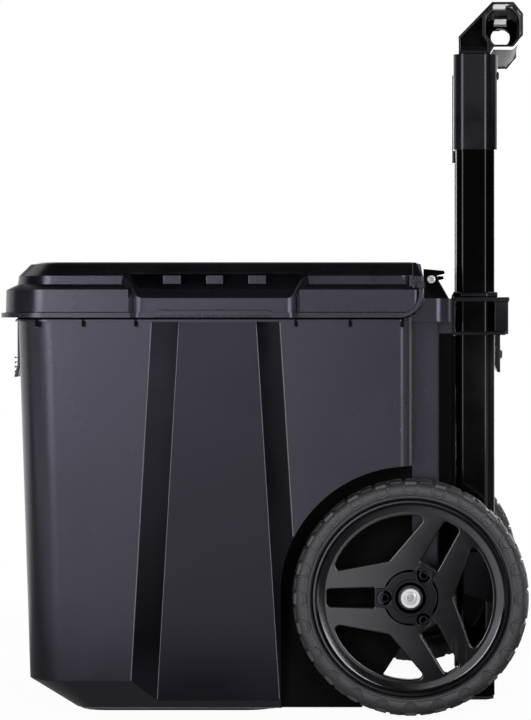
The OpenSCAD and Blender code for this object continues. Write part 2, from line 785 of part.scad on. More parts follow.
module tyre(side) {
    h = tyre_w / 2;
    color([0.06, 0.06, 0.06]) on_wheel(side) rotate_extrude() polygon([
        [rim_r, 3 - h], [rim_r, h - 3], [rim_r + 3, h - 0.5], [rim_r + 8, h],
        [wheel_r - 7, h], [wheel_r - 2, h - 5],
        [wheel_r, h - 12], [wheel_r, 12 - h], [wheel_r - 2, 5 - h], [wheel_r - 7, -h], [rim_r + 8, -h],
        [rim_r + 3, 0.5 - h]]);
}

module tyre_left() { tyre(-1); }
module tyre_right() { tyre(1); }

module hub_plate(side) {
    color([0.2, 0.2, 0.21]) on_wheel(side) difference() {
        union() {
            translate([0, 0, hub_z1]) cylinder(r = 30, h = 2);
            for (a = [60, 180, 300]) rotate(a) translate([27.5, 0, hub_z1]) cylinder(r = 11, h = 2);
        }
        translate([0, 0, hub_z1 - 1]) cylinder(r = 16, h = 5);
    }
}

module hub_plate_left() { hub_plate(-1); }
module hub_plate_right() { hub_plate(1); }

module hub_screws(side) {
    color([0.1, 0.1, 0.1]) on_wheel(side) for (a = [60, 180, 300]) rotate(a) translate([27.5, 0, hub_z1 + 2])
        cylinder(r1 = 7, r2 = 6, h = 1.6);
}

module hub_screws_left() { hub_screws(-1); }
module hub_screws_right() { hub_screws(1); }

cup_r = carousel_r + cup_gap;
tray_h = half_w - panel_recess - wall - 4;

seam = 0.1;

// Funnel that hangs from the rim, the round cup under it for the carousel, and the floor of the cup
module hopper_tray() {
    r = cup_r + cup_wall;
    cup_outside = outline(carousel_x - r, carousel_x + r, r, r, r);
    cup_inside = outline(carousel_x - cup_r, carousel_x + cup_r, cup_r, cup_r, cup_r);
    rim_outline = outline(front_x + 7, rear_x - 24, half_w - 3, front_corner_r - 3, 12);
    color([0.13, 0.13, 0.14]) {
        difference() {
            union() {
                loft([ring(cup_outside, hopper_z + seam),
                    ring(outline(front_x + 12, rear_x - 25, tray_h, 34, 12), rim_z + 1)]);
                loft([ring(rim_outline, rim_z), ring(rim_outline, rim_z + 2)]);
                loft([ring(cup_outside, cup_floor_z + seam), ring(cup_outside, hopper_z)]);
            }
            loft([ring(cup_inside, cup_floor_z), ring(cup_inside, hopper_z),
                ring(outline(front_x + 15, rear_x - 28, tray_h - 3, 31, 9), rim_z + 3)]);
        }
        difference() {
            loft([ring(cup_outside, cup_floor_z - 3), ring(cup_outside, cup_floor_z)]);
            translate([chute_x, 0, cup_floor_z - 5]) cylinder(r = pocket_r + 3, h = 10);
            translate([carousel_x, 0, cup_floor_z - 5]) cylinder(r = 7, h = 10);
        }
    }
}

module drop_chute() {
    color([0.12, 0.12, 0.13]) translate([chute_x, 0, cup_floor_z - 51]) difference() {
        union() {
            cylinder(r = pocket_r + 3, h = 48);
            translate([0, 0, 45]) cylinder(r = pocket_r + 10, h = 3);
        }
        translate([0, 0, -1]) cylinder(r = pocket_r, h = 50);
    }
}

feed_shaft_r = 5;

module feed_motor() {
    color([0.5, 0.5, 0.52]) translate([carousel_x, 0, cup_floor_z]) {
        translate([0, 0, -27]) cylinder(r = 28, h = 24);
        translate([0, 0, -62]) cylinder(r = 18, h = 36);
        translate([0, 0, -4]) cylinder(r = feed_shaft_r, h = 18);
    }
}

hub_r = pocket_pcr - pocket_r - 2;
arm_w = 2 * (pocket_pcr * sin(180 / pockets) - pocket_r);

// Star wheel: a hub with an arm between each two ball pockets
module feed_carousel() {
    color([0.16, 0.16, 0.17]) translate([carousel_x, 0, cup_floor_z + 1]) {
        difference() {
            union() {
                cylinder(r = hub_r, h = 20);
                translate([0, 0, 20]) cylinder(r1 = 34, r2 = 12, h = 16);
            }
            translate([0, 0, -1]) cylinder(r = feed_shaft_r + shaft_gap, h = 16);
        }
        for (k = [0:pockets - 1]) rotate(180 + 360 * (k + 0.5) / pockets) intersection() {
            translate([hub_r + seam, -arm_w / 2, 0]) cube([carousel_r - hub_r, arm_w, 20]);
            cylinder(r = carousel_r, h = 20);
        }
    }
}

turn_z = floor_z + wall + 25;
turn_shaft_r = 6;
tilt_shaft_r = 4;

module oscillation_motor() {
    color([0.5, 0.5, 0.52]) translate([launcher_x, 0, floor_z + wall]) {
        cylinder(r = 32, h = 24.5);
        cylinder(r = turn_shaft_r, h = 30);
    }
}

module launcher_turntable() {
    color([0.2, 0.2, 0.21]) difference() {
        union() {
            translate([launcher_x, 0, turn_z]) cylinder(r = 60, h = 6);
            both_sides() across(38, 44) polygon([
                [launcher_x - 24, turn_z + 5], [launcher_x + 24, turn_z + 5],
                [launcher_x + 11, tilt_z + 11], [launcher_x - 11, tilt_z + 11]]);
        }
        translate([launcher_x, 0, turn_z - 1]) cylinder(r = turn_shaft_r + shaft_gap, h = 8);
        bar(launcher_x, tilt_z, tilt_shaft_r, -60, 60);
    }
}

module tilt_motor() {
    color([0.5, 0.5, 0.52]) {
        bar(launcher_x, tilt_z, 18, -38, 14);
        bar(launcher_x, tilt_z, tilt_shaft_r, -53, 53);
    }
}

module launcher_plate() {
    color([0.65, 0.65, 0.67]) difference() {
        union() {
            block(launcher_x - 70, launcher_x + 70, -throw_y - 32, throw_y + 32, plate_z, plate_z + plate_t);
            block(launcher_x - 98, launcher_x + 92, -46, 46, plate_z, plate_z + plate_t);
            both_sides() across(46, 52) polygon([
                [launcher_x - 22, plate_z + 1], [launcher_x - 11, tilt_z - 10],
                [launcher_x + 11, tilt_z - 10], [launcher_x + 22, plate_z + 1]]);
        }
        bar(launcher_x, tilt_z, tilt_shaft_r + shaft_gap, -60, 60);
        both_sides() translate([throw_x, throw_y, plate_z - 1]) cylinder(r = 9, h = plate_t + 2);
    }
}

throw_shaft_r = 5;

module throw_motors() {
    color([0.45, 0.45, 0.47]) both_sides() translate([throw_x, throw_y, 0]) {
        translate([0, 0, plate_z - motor_h]) cylinder(r = motor_r, h = motor_h);
        translate([0, 0, plate_z - 1]) cylinder(r = throw_shaft_r, h = throw_z + throw_t / 2 - 4 - plate_z);
    }
}

// Rear trough that catches a dropped ball, and the short barrel in front of the wheels
module ball_guide() {
    z0 = plate_z + plate_t;
    gap = ball_d / 2 + 3;
    color([0.15, 0.15, 0.16]) {
        both_sides() block(launcher_x + 42, launcher_x + 91, gap, gap + 3, z0, z0 + 44);
        block(launcher_x + 88, launcher_x + 91, -gap - 3, gap + 3, z0, z0 + 44);
        difference() {
            union() {
                translate([launcher_x - 98, 0, throw_z]) rotate([0, 90, 0]) cylinder(r = gap + 3, h = 36);
                block(launcher_x - 98, launcher_x - 62, -30, 30, z0, throw_z - 20);
            }
            translate([launcher_x - 99, 0, throw_z]) rotate([0, 90, 0]) cylinder(r = gap, h = 38);
            block(launcher_x - 99, launcher_x - 61, -60, 60, z0 - 20, z0);
        }
    }
}

tread_t = 10;

module throw_wheel(side) {
    r = throw_d / 2 - tread_t;
    h = throw_t / 2;
    color([0.3, 0.3, 0.31]) translate([throw_x, side * throw_y, throw_z]) rotate_extrude() polygon([
        [throw_shaft_r + shaft_gap, -h], [16, -h], [16, -7], [r - 8, -7], [r - 8, -h], [r, -h],
        [r, h], [r - 8, h], [r - 8, 7], [16, 7], [16, h], [throw_shaft_r + shaft_gap, h]]);
}

module throw_wheel_left() { throw_wheel(-1); }
module throw_wheel_right() { throw_wheel(1); }

module throw_tread(side) {
    r = throw_d / 2;
    h = throw_t / 2;
    color([0.07, 0.07, 0.07]) translate([throw_x, side * throw_y, throw_z]) rotate_extrude() polygon([
        [r - tread_t, -h], [r, -h], [r - 3, 0], [r, h], [r - tread_t, h]]);
}

module throw_tread_left() { throw_tread(-1); }
module throw_tread_right() { throw_tread(1); }

inside_z = floor_z + wall;
stow_x0 = launcher_x + 110;
stow_x1 = rear_x - 75;

module battery_pack() {
    color([0.1, 0.1, 0.11]) {
        block(stow_x0, stow_x1, 30, 150, inside_z, inside_z + 88);
        for (y = [60, 120]) translate([(stow_x0 + stow_x1) / 2, y, inside_z + 88]) cylinder(r = 5, h = 7);
    }
}

module control_board() {
    z0 = inside_z + 10;
    color([0.1, 0.3, 0.15]) {
        block(stow_x0, stow_x1, -150, -30, z0, z0 + 2);
        block(stow_x0 + 10, stow_x0 + 40, -140, -90, z0 + 2, z0 + 18);
        translate([stow_x1 - 25, -60, z0 + 2]) cylinder(r = 10, h = 26);
    }
}

module board_standoffs() {
    color([0.6, 0.6, 0.62]) for (x = [stow_x0 + 6, stow_x1 - 6], y = [-144, -36]) translate([x, y, inside_z])
        cylinder(r = 4, h = 10);
}

panel_z = rim_z - 128;
knob_y = 48;
knob_z = panel_z + 20;
rocker_z = panel_z - 24;
rocker_y = 48;

module control_panel() {
    color([0.15, 0.15, 0.16]) difference() {
        block(pad_x, pad_x + 4, -82, 82, panel_z - 52, panel_z + 52);
        for (y = [-knob_y, knob_y]) translate([pad_x - 1, y, knob_z]) rotate([0, 90, 0])
            cylinder(r = 3 + shaft_gap, h = 6);
        block(pad_x - 1, pad_x + 5, rocker_y - 9, rocker_y + 9, rocker_z - 13, rocker_z + 13);
    }
}

module knob(y) {
    color([0.1, 0.1, 0.1]) translate([pad_x, y, knob_z]) rotate([0, 90, 0]) {
        translate([0, 0, 0.5]) cylinder(r = 3, h = 5);
        translate([0, 0, 4 + run]) cylinder(r1 = 14, r2 = 12, h = 14);
    }
}

module speed_knob() { knob(-knob_y); }
module feed_knob() { knob(knob_y); }

module power_rocker() {
    color([0.6, 0.1, 0.08]) across(rocker_y - 9 + run, rocker_y + 9 - run) polygon([
        [pad_x + 2.2, rocker_z - 12], [pad_x + 6, rocker_z - 12], [pad_x + 5, rocker_z],
        [pad_x + 6, rocker_z + 12], [pad_x + 2.2, rocker_z + 12]]);
}

module charge_socket() {
    color([0.5, 0.5, 0.52]) translate([pad_x + 4, -knob_y, rocker_z]) rotate([0, 90, 0]) difference() {
        cylinder(r = 10, h = 5);
        translate([0, 0, 1]) cylinder(r = 6, h = 5);
    }
}

case_shell();
rubber_feet();
ball_port_bezel();
hinge_ears();
hinge_bolts();
latch_catches();
lid_shell();
lid_hinge_leaves();
lid_seal();
latch_pins();
latch_left();
latch_right();
handle_bracket();
bracket_sleeves();
bracket_bolts();
lower_tube_clamps();
outer_tube_left();
outer_tube_right();
lock_collars();
collar_rivets();
tube_feet();
inner_tubes();
tube_glides();
handle_elbow_left();
handle_elbow_right();
grip();
release_button();
axle();
axle_bushes();
axle_caps();
wheel_rim_left();
tyre_left();
hub_plate_left();
hub_screws_left();
wheel_rim_right();
tyre_right();
hub_plate_right();
hub_screws_right();
hopper_tray();
drop_chute();
feed_motor();
feed_carousel();
oscillation_motor();
launcher_turntable();
tilt_motor();
launcher_plate();
throw_motors();
ball_guide();
throw_wheel_left();
throw_wheel_right();
throw_tread_left();
throw_tread_right();
battery_pack();
control_board();
board_standoffs();
control_panel();
speed_knob();
feed_knob();
power_rocker();
charge_socket();
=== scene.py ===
import json
import math
import bpy
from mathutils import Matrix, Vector


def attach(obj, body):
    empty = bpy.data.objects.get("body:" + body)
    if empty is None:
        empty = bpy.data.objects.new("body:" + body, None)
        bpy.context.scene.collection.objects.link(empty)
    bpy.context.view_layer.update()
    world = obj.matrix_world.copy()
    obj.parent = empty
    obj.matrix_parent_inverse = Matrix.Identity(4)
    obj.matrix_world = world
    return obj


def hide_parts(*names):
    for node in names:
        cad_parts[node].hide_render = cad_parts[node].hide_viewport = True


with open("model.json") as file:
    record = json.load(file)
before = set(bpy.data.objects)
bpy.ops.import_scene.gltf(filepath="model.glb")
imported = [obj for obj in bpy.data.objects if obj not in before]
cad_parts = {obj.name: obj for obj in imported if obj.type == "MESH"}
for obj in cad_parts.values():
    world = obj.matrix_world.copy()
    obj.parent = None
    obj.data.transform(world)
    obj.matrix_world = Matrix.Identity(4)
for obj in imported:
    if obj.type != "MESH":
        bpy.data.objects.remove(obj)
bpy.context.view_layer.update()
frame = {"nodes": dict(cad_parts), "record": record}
nodes = frame["nodes"]
bodyOf = {n: b for b, ns in frame["record"]["behaviour"]["bodies"].items() for n in ns}
print("frame loaded:", len(nodes), "nodes")

scene = bpy.context.scene
scene.view_settings.view_transform = "Standard"
quarter = math.pi / 2


# ways of picking and shaping, used by every piece

def objectMode():
    bpy.ops.object.mode_set(mode="OBJECT")


def takeUp(*objs):  # selects these only, with the first one active
    if bpy.context.object and bpy.context.object.mode != "OBJECT":
        objectMode()
    bpy.ops.object.select_all(action="DESELECT")
    for obj in objs:
        obj.select_set(True)
    if objs:
        bpy.context.view_layer.objects.active = objs[0]


def selectAll(action="SELECT"):
    bpy.ops.mesh.select_all(action=action)


def pickAll(obj, kind="VERT"):
    takeUp(obj)
    bpy.ops.object.mode_set(mode="EDIT")
    bpy.ops.mesh.select_mode(type=kind)
    selectAll()


def edgeAngles(mesh):  # degrees between the two faces at each edge
    sides = {}
    for f in mesh.polygons:
        for key in f.edge_keys:
            sides.setdefault(key, []).append(f.normal)
    return {k: math.degrees(s[0].angle(s[1], 0)) for k, s in sides.items() if len(s) == 2}


def pick(obj, kind, test, least=0):  # by place: test gets a point, an edge's two ends or a face
    pickAll(obj, kind)
    selectAll("DESELECT")
    objectMode()
    mesh = obj.data
    angles = edgeAngles(mesh) if least else {}  # least is how sharp an edge has to be
    items, given = {"VERT": (mesh.vertices, lambda v: (v.co,)),
                    "EDGE": (mesh.edges, lambda e: [mesh.vertices[n].co for n in e.vertices]),
                    "FACE": (mesh.polygons, lambda f: (f,))}[kind]
    for item in items:
        item.select = test(*given(item)) and (not least or angles.get(item.key, 0) > least)
    bpy.ops.object.mode_set(mode="EDIT")


def movePicked(*way):
    bpy.ops.transform.translate(value=way)
    objectMode()


def roundPicked(width, segments):
    bpy.ops.mesh.bevel(offset=width, segments=segments, profile=0.5, affect="EDGES", clamp_overlap=True)
    objectMode()


def dentPicked(border, way, each=False):  # an inset face, set back
    bpy.ops.mesh.inset(thickness=border, use_individual=each)
    movePicked(*way)


def mergePicked(gap):
    bpy.ops.mesh.remove_doubles(threshold=gap)


def flattenPicked():  # clears the lines that lie on flat faces
    bpy.ops.mesh.dissolve_limited(angle_limit=math.radians(0.6))
    objectMode()


def cutAway(*planes):  # drops what lies beyond each plane
    for at, way in planes:
        selectAll()
        bpy.ops.mesh.bisect(plane_co=at, plane_no=way, clear_outer=True)
    objectMode()


def applyPlace():
    bpy.ops.object.transform_apply(location=True, rotation=True, scale=True)


def applyModifier(obj, kind, **settings):
    takeUp(obj)
    mod = obj.modifiers.new(kind.lower(), kind)
    for k, v in settings.items():
        setattr(mod, k, v)
    bpy.ops.object.modifier_apply(modifier=mod.name)


def softEdges(obj, width, segments=2, angle=28):
    applyModifier(obj, "BEVEL", width=width, segments=segments, limit_method="ANGLE",
                  angle_limit=math.radians(angle), use_clamp_overlap=True, miter_outer="MITER_ARC")


def crisp(obj, angle=32):  # flat faces stay flat and rounded edges shade softly
    takeUp(obj)
    bpy.ops.object.shade_smooth_by_angle(angle=math.radians(angle))
    applyModifier(obj, "WEIGHTED_NORMAL", keep_sharp=True, weight=50, mode="FACE_AREA")
    return obj


def combine(obj, other, operation):  # joins or cuts closed shapes
    applyModifier(obj, "BOOLEAN", operation=operation, solver="EXACT", object=other)
    bpy.data.objects.remove(other, do_unlink=True)


def carve(obj, cutter):
    combine(obj, cutter, "DIFFERENCE")


def duplicate(obj, name):
    other = obj.copy()
    other.data = obj.data.copy()
    other.name = name
    scene.collection.objects.link(other)
    return other


def mirrorCopy(obj):  # the same piece on the other side of the machine
    other = duplicate(obj, obj.name.replace(".left", "") + ".right")
    pickAll(other)
    bpy.ops.transform.mirror(constraint_axis=(False, True, False), center_override=(0, 0, 0))
    bpy.ops.mesh.flip_normals()
    objectMode()
    return other


def bothSides(objs):
    return objs + [mirrorCopy(o) for o in objs]


def joinAll(objs, name):
    takeUp(*objs)
    bpy.ops.object.join()
    objs[0].name = name
    return objs[0]


def fromNode(name, pieceName=None):  # a merged copy of a CAD node, ready to shape
    obj = duplicate(nodes[name], pieceName or name + ".piece")
    obj.parent = None
    for k in list(obj.keys()):
        del obj[k]
    obj.data.materials.clear()
    if obj.data.has_custom_normals:
        takeUp(obj)
        bpy.ops.mesh.customdata_custom_splitnormals_clear()
    pickAll(obj)
    mergePicked(0.000005)
    flattenPicked()
    return obj


def newBox(name, low, high):
    low, high = Vector(low), Vector(high)
    takeUp()
    bpy.ops.mesh.primitive_cube_add(size=1, location=(low + high) / 2)
    obj = bpy.context.object
    obj.scale = high - low
    obj.name = name
    applyPlace()
    return obj


# flat and turned shapes, made once in their own plane and then set in place
outLeft = (quarter, 0, 0)  # flat work's up becomes the way out of the left side, the rear or the front
outBack = (quarter, 0, quarter)
outFront = (quarter, 0, -quarter)


def turned(name, profile, steps):  # a profile of (radius, height) in mm, spun about Z
    takeUp()
    bpy.ops.mesh.primitive_circle_add(vertices=len(profile), radius=1, fill_type="NOTHING")
    obj = bpy.context.object
    obj.name = name
    for v, (r, z) in zip(obj.data.vertices, profile):
        v.co = (r / 1000, 0, z / 1000)
    pickAll(obj, "EDGE")
    bpy.ops.mesh.spin(steps=steps, angle=2 * math.pi, center=(0, 0, 0), axis=(0, 0, 1))
    selectAll()
    mergePicked(0.00001)
    bpy.ops.mesh.normals_make_consistent(inside=False)
    objectMode()
    return obj


def rounded(points, radii, steps=5):  # a closed outline with its corners rounded
    loop = []
    count = len(points)
    for i in range(count):
        p, q, s = Vector(points[i - 1]), Vector(points[i]), Vector(points[(i + 1) % count])
        r = radii[i] if isinstance(radii, (list, tuple)) else radii
        a, b = (p - q), (s - q)
        turn = a.angle(b, math.pi)
        if r <= 0 or turn > math.pi - 0.02:  # no corner to speak of
            loop.append(tuple(q))
            continue
        back = min(r / math.tan(turn / 2), 0.49 * a.length, 0.49 * b.length)
        r = back * math.tan(turn / 2)
        mid = q + (a.normalized() + b.normalized()).normalized() * (r / math.sin(turn / 2))
        start, end = q + a.normalized() * back - mid, q + b.normalized() * back - mid
        for k in range(steps + 1):
            loop.append(tuple(mid + start.slerp(end, k / steps).normalized() * start.length))
    return [p for i, p in enumerate(loop) if (Vector(p) - Vector(loop[i - 1])).length > 0.00002]


def block(x0, x1, y0, y1, radii=0, steps=5):
    return rounded([(x0, y0), (x1, y0), (x1, y1), (x0, y1)], radii, steps)


def arcPoints(at, radius, start, end, steps=10):
    turns = [math.radians(start + (end - start) * k / steps) for k in range(steps + 1)]
    return [(at[0] + radius * math.cos(a), at[1] + radius * math.sin(a)) for a in turns]


def circleLoop(radius, steps=72, at=(0, 0)):
    return arcPoints(at, radius, 0, 360, steps)[:-1]


def polar(r, degrees):
    return arcPoints((0, 0), r, degrees, degrees, 1)[0]


def turnPoint(p, degrees):
    c, s = math.cos(math.radians(degrees)), math.sin(math.radians(degrees))
    return (p[0] * c - p[1] * s, p[0] * s + p[1] * c)


def setInPlace(obj, place=(0, 0, 0), turn=outLeft):
    obj.location = place
    obj.rotation_euler = turn
    takeUp(obj)
    applyPlace()
    return obj


def cutPlate(name, outlines, low, high, edge=0.001, smooth=2):  # a flat plate with holes and rounded edges
    data = bpy.data.curves.new(name, "CURVE")
    data.dimensions = "2D"
    data.fill_mode = "BOTH"
    for outline in outlines:
        spline = data.splines.new("POLY")
        spline.points.add(len(outline) - 1)
        for point, (x, y) in zip(spline.points, outline):
            point.co = (x, y, 0, 1)
        spline.use_cyclic_u = True
    data.extrude = (high - low) / 2 - edge
    if edge:
        data.bevel_depth, data.bevel_resolution, data.offset = edge, smooth, -edge
    obj = bpy.data.objects.new(name, data)
    scene.collection.objects.link(obj)
    takeUp(obj)
    bpy.ops.object.convert(target="MESH")
    obj = bpy.context.object
    pickAll(obj)
    mergePicked(0.000005)
    bpy.ops.mesh.normals_make_consistent(inside=False)
    movePicked(0, 0, (low + high) / 2)
    return obj


# in the tables below a plate's place is its low, high, edge and sometimes smooth
def sidePlate(*plate):  # cut in the (x, z) plane; low and high are distances out of the left side
    return setInPlace(cutPlate(*plate))


def prismAlong(*plate):  # cut in the (y, z) plane and drawn out front to back
    return setInPlace(cutPlate(*plate), turn=outBack)


# camera: level side view, framed off its axis as in the photograph
cameraSet = dict(place=(0.1845, -2.982, 0.4225), lens=128.2, shift=(-0.2354, -0.0528))
cameraData = bpy.data.cameras.new("sideView")
cameraData.lens = cameraSet["lens"]
cameraData.shift_x, cameraData.shift_y = cameraSet["shift"]
cameraData.clip_end = 60
camera = bpy.data.objects.new("sideView", cameraData)
camera.location = cameraSet["place"]
camera.rotation_euler = (quarter, 0, 0)
scene.collection.objects.link(camera)
scene.camera = camera
print("camera set")


# shader nodes, and the groups that the finishes share

def wire(tree, a, b):
    tree.links.new(a, b)


def put(tree, kind, feeds={}, **settings):  # a node with its settings; feeds are values or links for its inputs
    node = tree.nodes.new(kind)
    for k, v in settings.items():
        setattr(node, k, v)
    for k, v in feeds.items():
        if isinstance(v, bpy.types.NodeSocket):
            wire(tree, v, node.inputs[k])
        else:
            node.inputs[k].default_value = v
    return node


def sums(tree, operation, a, b):
    return put(tree, "ShaderNodeMath", {0: a, 1: b}, operation=operation).outputs[0]


def times(tree, first, *others):
    for value in others:
        first = sums(tree, "MULTIPLY", first, value)
    return first


def remap(tree, value, low, high, outLow=0.0, outHigh=1.0):
    feeds = {"Value": value, "From Min": low, "From Max": high, "To Min": outLow, "To Max": outHigh}
    return put(tree, "ShaderNodeMapRange", feeds, interpolation_type="SMOOTHSTEP").outputs["Result"]


def noise(tree, vector, scale, detail, rough):
    feeds = {"Vector": vector, "Scale": scale, "Detail": detail, "Roughness": rough}
    return put(tree, "ShaderNodeTexNoise", feeds).outputs["Fac"]


def patches(tree, place, scale, detail, rough, low, high):  # noise turned into soft-edged patches
    return remap(tree, noise(tree, place, scale, detail, rough), low, high)


def mixColor(tree, mask, a, b):
    a, b = [(*c, 1) if isinstance(c, tuple) else c for c in (a, b)]
    return put(tree, "ShaderNodeMix", {"Factor": mask, 6: a, 7: b}, data_type="RGBA").outputs[2]


def split(tree, vector):
    return put(tree, "ShaderNodeSeparateXYZ", {0: vector}).outputs


def newGroup(name, inputs, outputs):
    group = bpy.data.node_groups.new(name, "ShaderNodeTree")
    group.interface.new_socket("Place", in_out="INPUT", socket_type="NodeSocketVector")
    for label, value in inputs.items():
        group.interface.new_socket(label, in_out="INPUT", socket_type="NodeSocketFloat").default_value = value
    for label in outputs:
        group.interface.new_socket(label, in_out="OUTPUT", socket_type="NodeSocketFloat")
    return group, group.nodes.new("NodeGroupInput").outputs, group.nodes.new("NodeGroupOutput").inputs


def moldGrainGroup():  # fine spark-eroded grain of a moulded plastic wall
    group, gin, gout = newGroup("moldGrain", {"Scale": 900.0}, ("Height", "Mottle"))
    cells = put(group, "ShaderNodeTexVoronoi", {"Vector": gin["Place"], "Scale": gin["Scale"]}, feature="SMOOTH_F1")
    cells.inputs["Smoothness"].default_value = 0.7
    fine = noise(group, gin["Place"], gin["Scale"], 4.0, 0.6)
    wire(group, sums(group, "ADD", times(group, cells.outputs["Distance"], 0.6), fine), gout["Height"])
    wire(group, patches(group, gin["Place"], 9.0, 5.0, 0.6, 0.3, 0.7), gout["Mottle"])
    return group


def edgeWearGroup():  # mask of the edges where a finish is rubbed
    group, gin, gout = newGroup("edgeWear", {"Reach": 0.002, "Amount": 0.5}, ("Mask",))
    soft = put(group, "ShaderNodeBevel", {"Radius": gin["Reach"]}, samples=4).outputs["Normal"]
    flat = put(group, "ShaderNodeNewGeometry").outputs["Normal"]
    dot = put(group, "ShaderNodeVectorMath", {0: soft, 1: flat}, operation="DOT_PRODUCT").outputs["Value"]
    broken = patches(group, gin["Place"], 60.0, 6.0, 0.65, 0.35, 0.65)
    wire(group, times(group, remap(group, dot, 0.995, 0.9), broken, gin["Amount"]), gout["Mask"])
    return group


def dustGroup():  # light dust on faces that look up
    group, gin, gout = newGroup("settledDust", {"Amount": 0.3}, ("Mask",))
    facing = split(group, put(group, "ShaderNodeNewGeometry").outputs["Normal"])
    patch = patches(group, gin["Place"], 22.0, 6.0, 0.7, 0.4, 0.75)
    wire(group, times(group, remap(group, facing["Z"], 0.2, 0.95), patch, gin["Amount"]), gout["Mask"])
    return group


def scuffGroup():  # faint rubbed streaks
    group, gin, gout = newGroup("rubStreaks", {"Amount": 0.3}, ("Mask",))
    feeds = {"Vector": gin["Place"], "Rotation": (0.3, 0.5, 0.2), "Scale": (160.0, 160.0, 9.0)}
    drawn = put(group, "ShaderNodeMapping", feeds).outputs["Vector"]
    lines = patches(group, drawn, 1.0, 2.0, 0.5, 0.66, 0.74)
    patch = patches(group, gin["Place"], 6.0, 3.0, 0.5, 0.5, 0.7)
    wire(group, times(group, lines, patch, gin["Amount"]), gout["Mask"])
    return group


grainShade, wearShade, dustShade, scuffShade = moldGrainGroup(), edgeWearGroup(), dustGroup(), scuffGroup()


def newMaterial(name, look):
    mat = bpy.data.materials.new(name)
    mat.use_nodes = True
    tree = mat.node_tree
    shader = tree.nodes["Principled BSDF"].inputs
    shader["Specular IOR Level"].default_value = look.get("shine", 0.5)
    return mat, tree, shader, put(tree, "ShaderNodeTexCoord").outputs["Object"]


def useGroup(tree, group, place, **values):
    return put(tree, "ShaderNodeGroup", {"Place": place, **values}, node_tree=group).outputs


def bumpBy(tree, shader, height, strength, distance):
    feeds = {"Strength": strength, "Distance": distance, "Height": height}
    wire(tree, put(tree, "ShaderNodeBump", feeds).outputs["Normal"], shader["Normal"])


def plastic(name, look):
    mat, tree, shader, place = newMaterial(name, look)
    grain = useGroup(tree, grainShade, place, Scale=look["grain"])
    wear = useGroup(tree, wearShade, place, Reach=0.0015, Amount=look["wear"])["Mask"]
    dust = useGroup(tree, dustShade, place, Amount=look["dust"])["Mask"]
    scuff = useGroup(tree, scuffShade, place, Amount=0.25)["Mask"]
    tone = mixColor(tree, grain["Mottle"], look["dark"], look["light"])
    for mask, color in ((wear, look["worn"]), (scuff, look["worn"]), (dust, (0.16, 0.155, 0.15))):
        tone = mixColor(tree, mask, tone, color)
    wire(tree, tone, shader["Base Color"])
    rough = remap(tree, grain["Mottle"], 0.0, 1.0, look["rough"] - 0.04, look["rough"] + 0.05)
    rough = sums(tree, "ADD", rough, times(tree, dust, 0.3))
    wire(tree, sums(tree, "SUBTRACT", rough, times(tree, wear, 0.12)), shader["Roughness"])
    shader["Specular Tint"].default_value = (*look.get("tint", (1, 1, 1)), 1)
    bumpBy(tree, shader, grain["Height"], look["bump"], look.get("depth", 0.0004))
    return mat


def metal(name, look):
    mat, tree, shader, place = newMaterial(name, look)
    drawn = put(tree, "ShaderNodeMapping", {"Vector": place, "Scale": look["brush"]}).outputs["Vector"]
    lines = noise(tree, drawn, 1.0, 5.0, 0.6)
    wear = useGroup(tree, wearShade, place, Reach=0.0012, Amount=look["wear"])["Mask"]
    tone = mixColor(tree, patches(tree, place, 14.0, 4.0, 0.6, 0.3, 0.7), look["dark"], look["light"])
    wire(tree, mixColor(tree, wear, tone, look["worn"]), shader["Base Color"])
    shader["Metallic"].default_value = look.get("metallic", 1.0)
    spread = remap(tree, lines, 0.25, 0.75, -look["spread"], look["spread"])
    wire(tree, sums(tree, "ADD", spread, look["rough"]), shader["Roughness"])
    bumpBy(tree, shader, lines, look["bump"], 0.0002)
    return mat


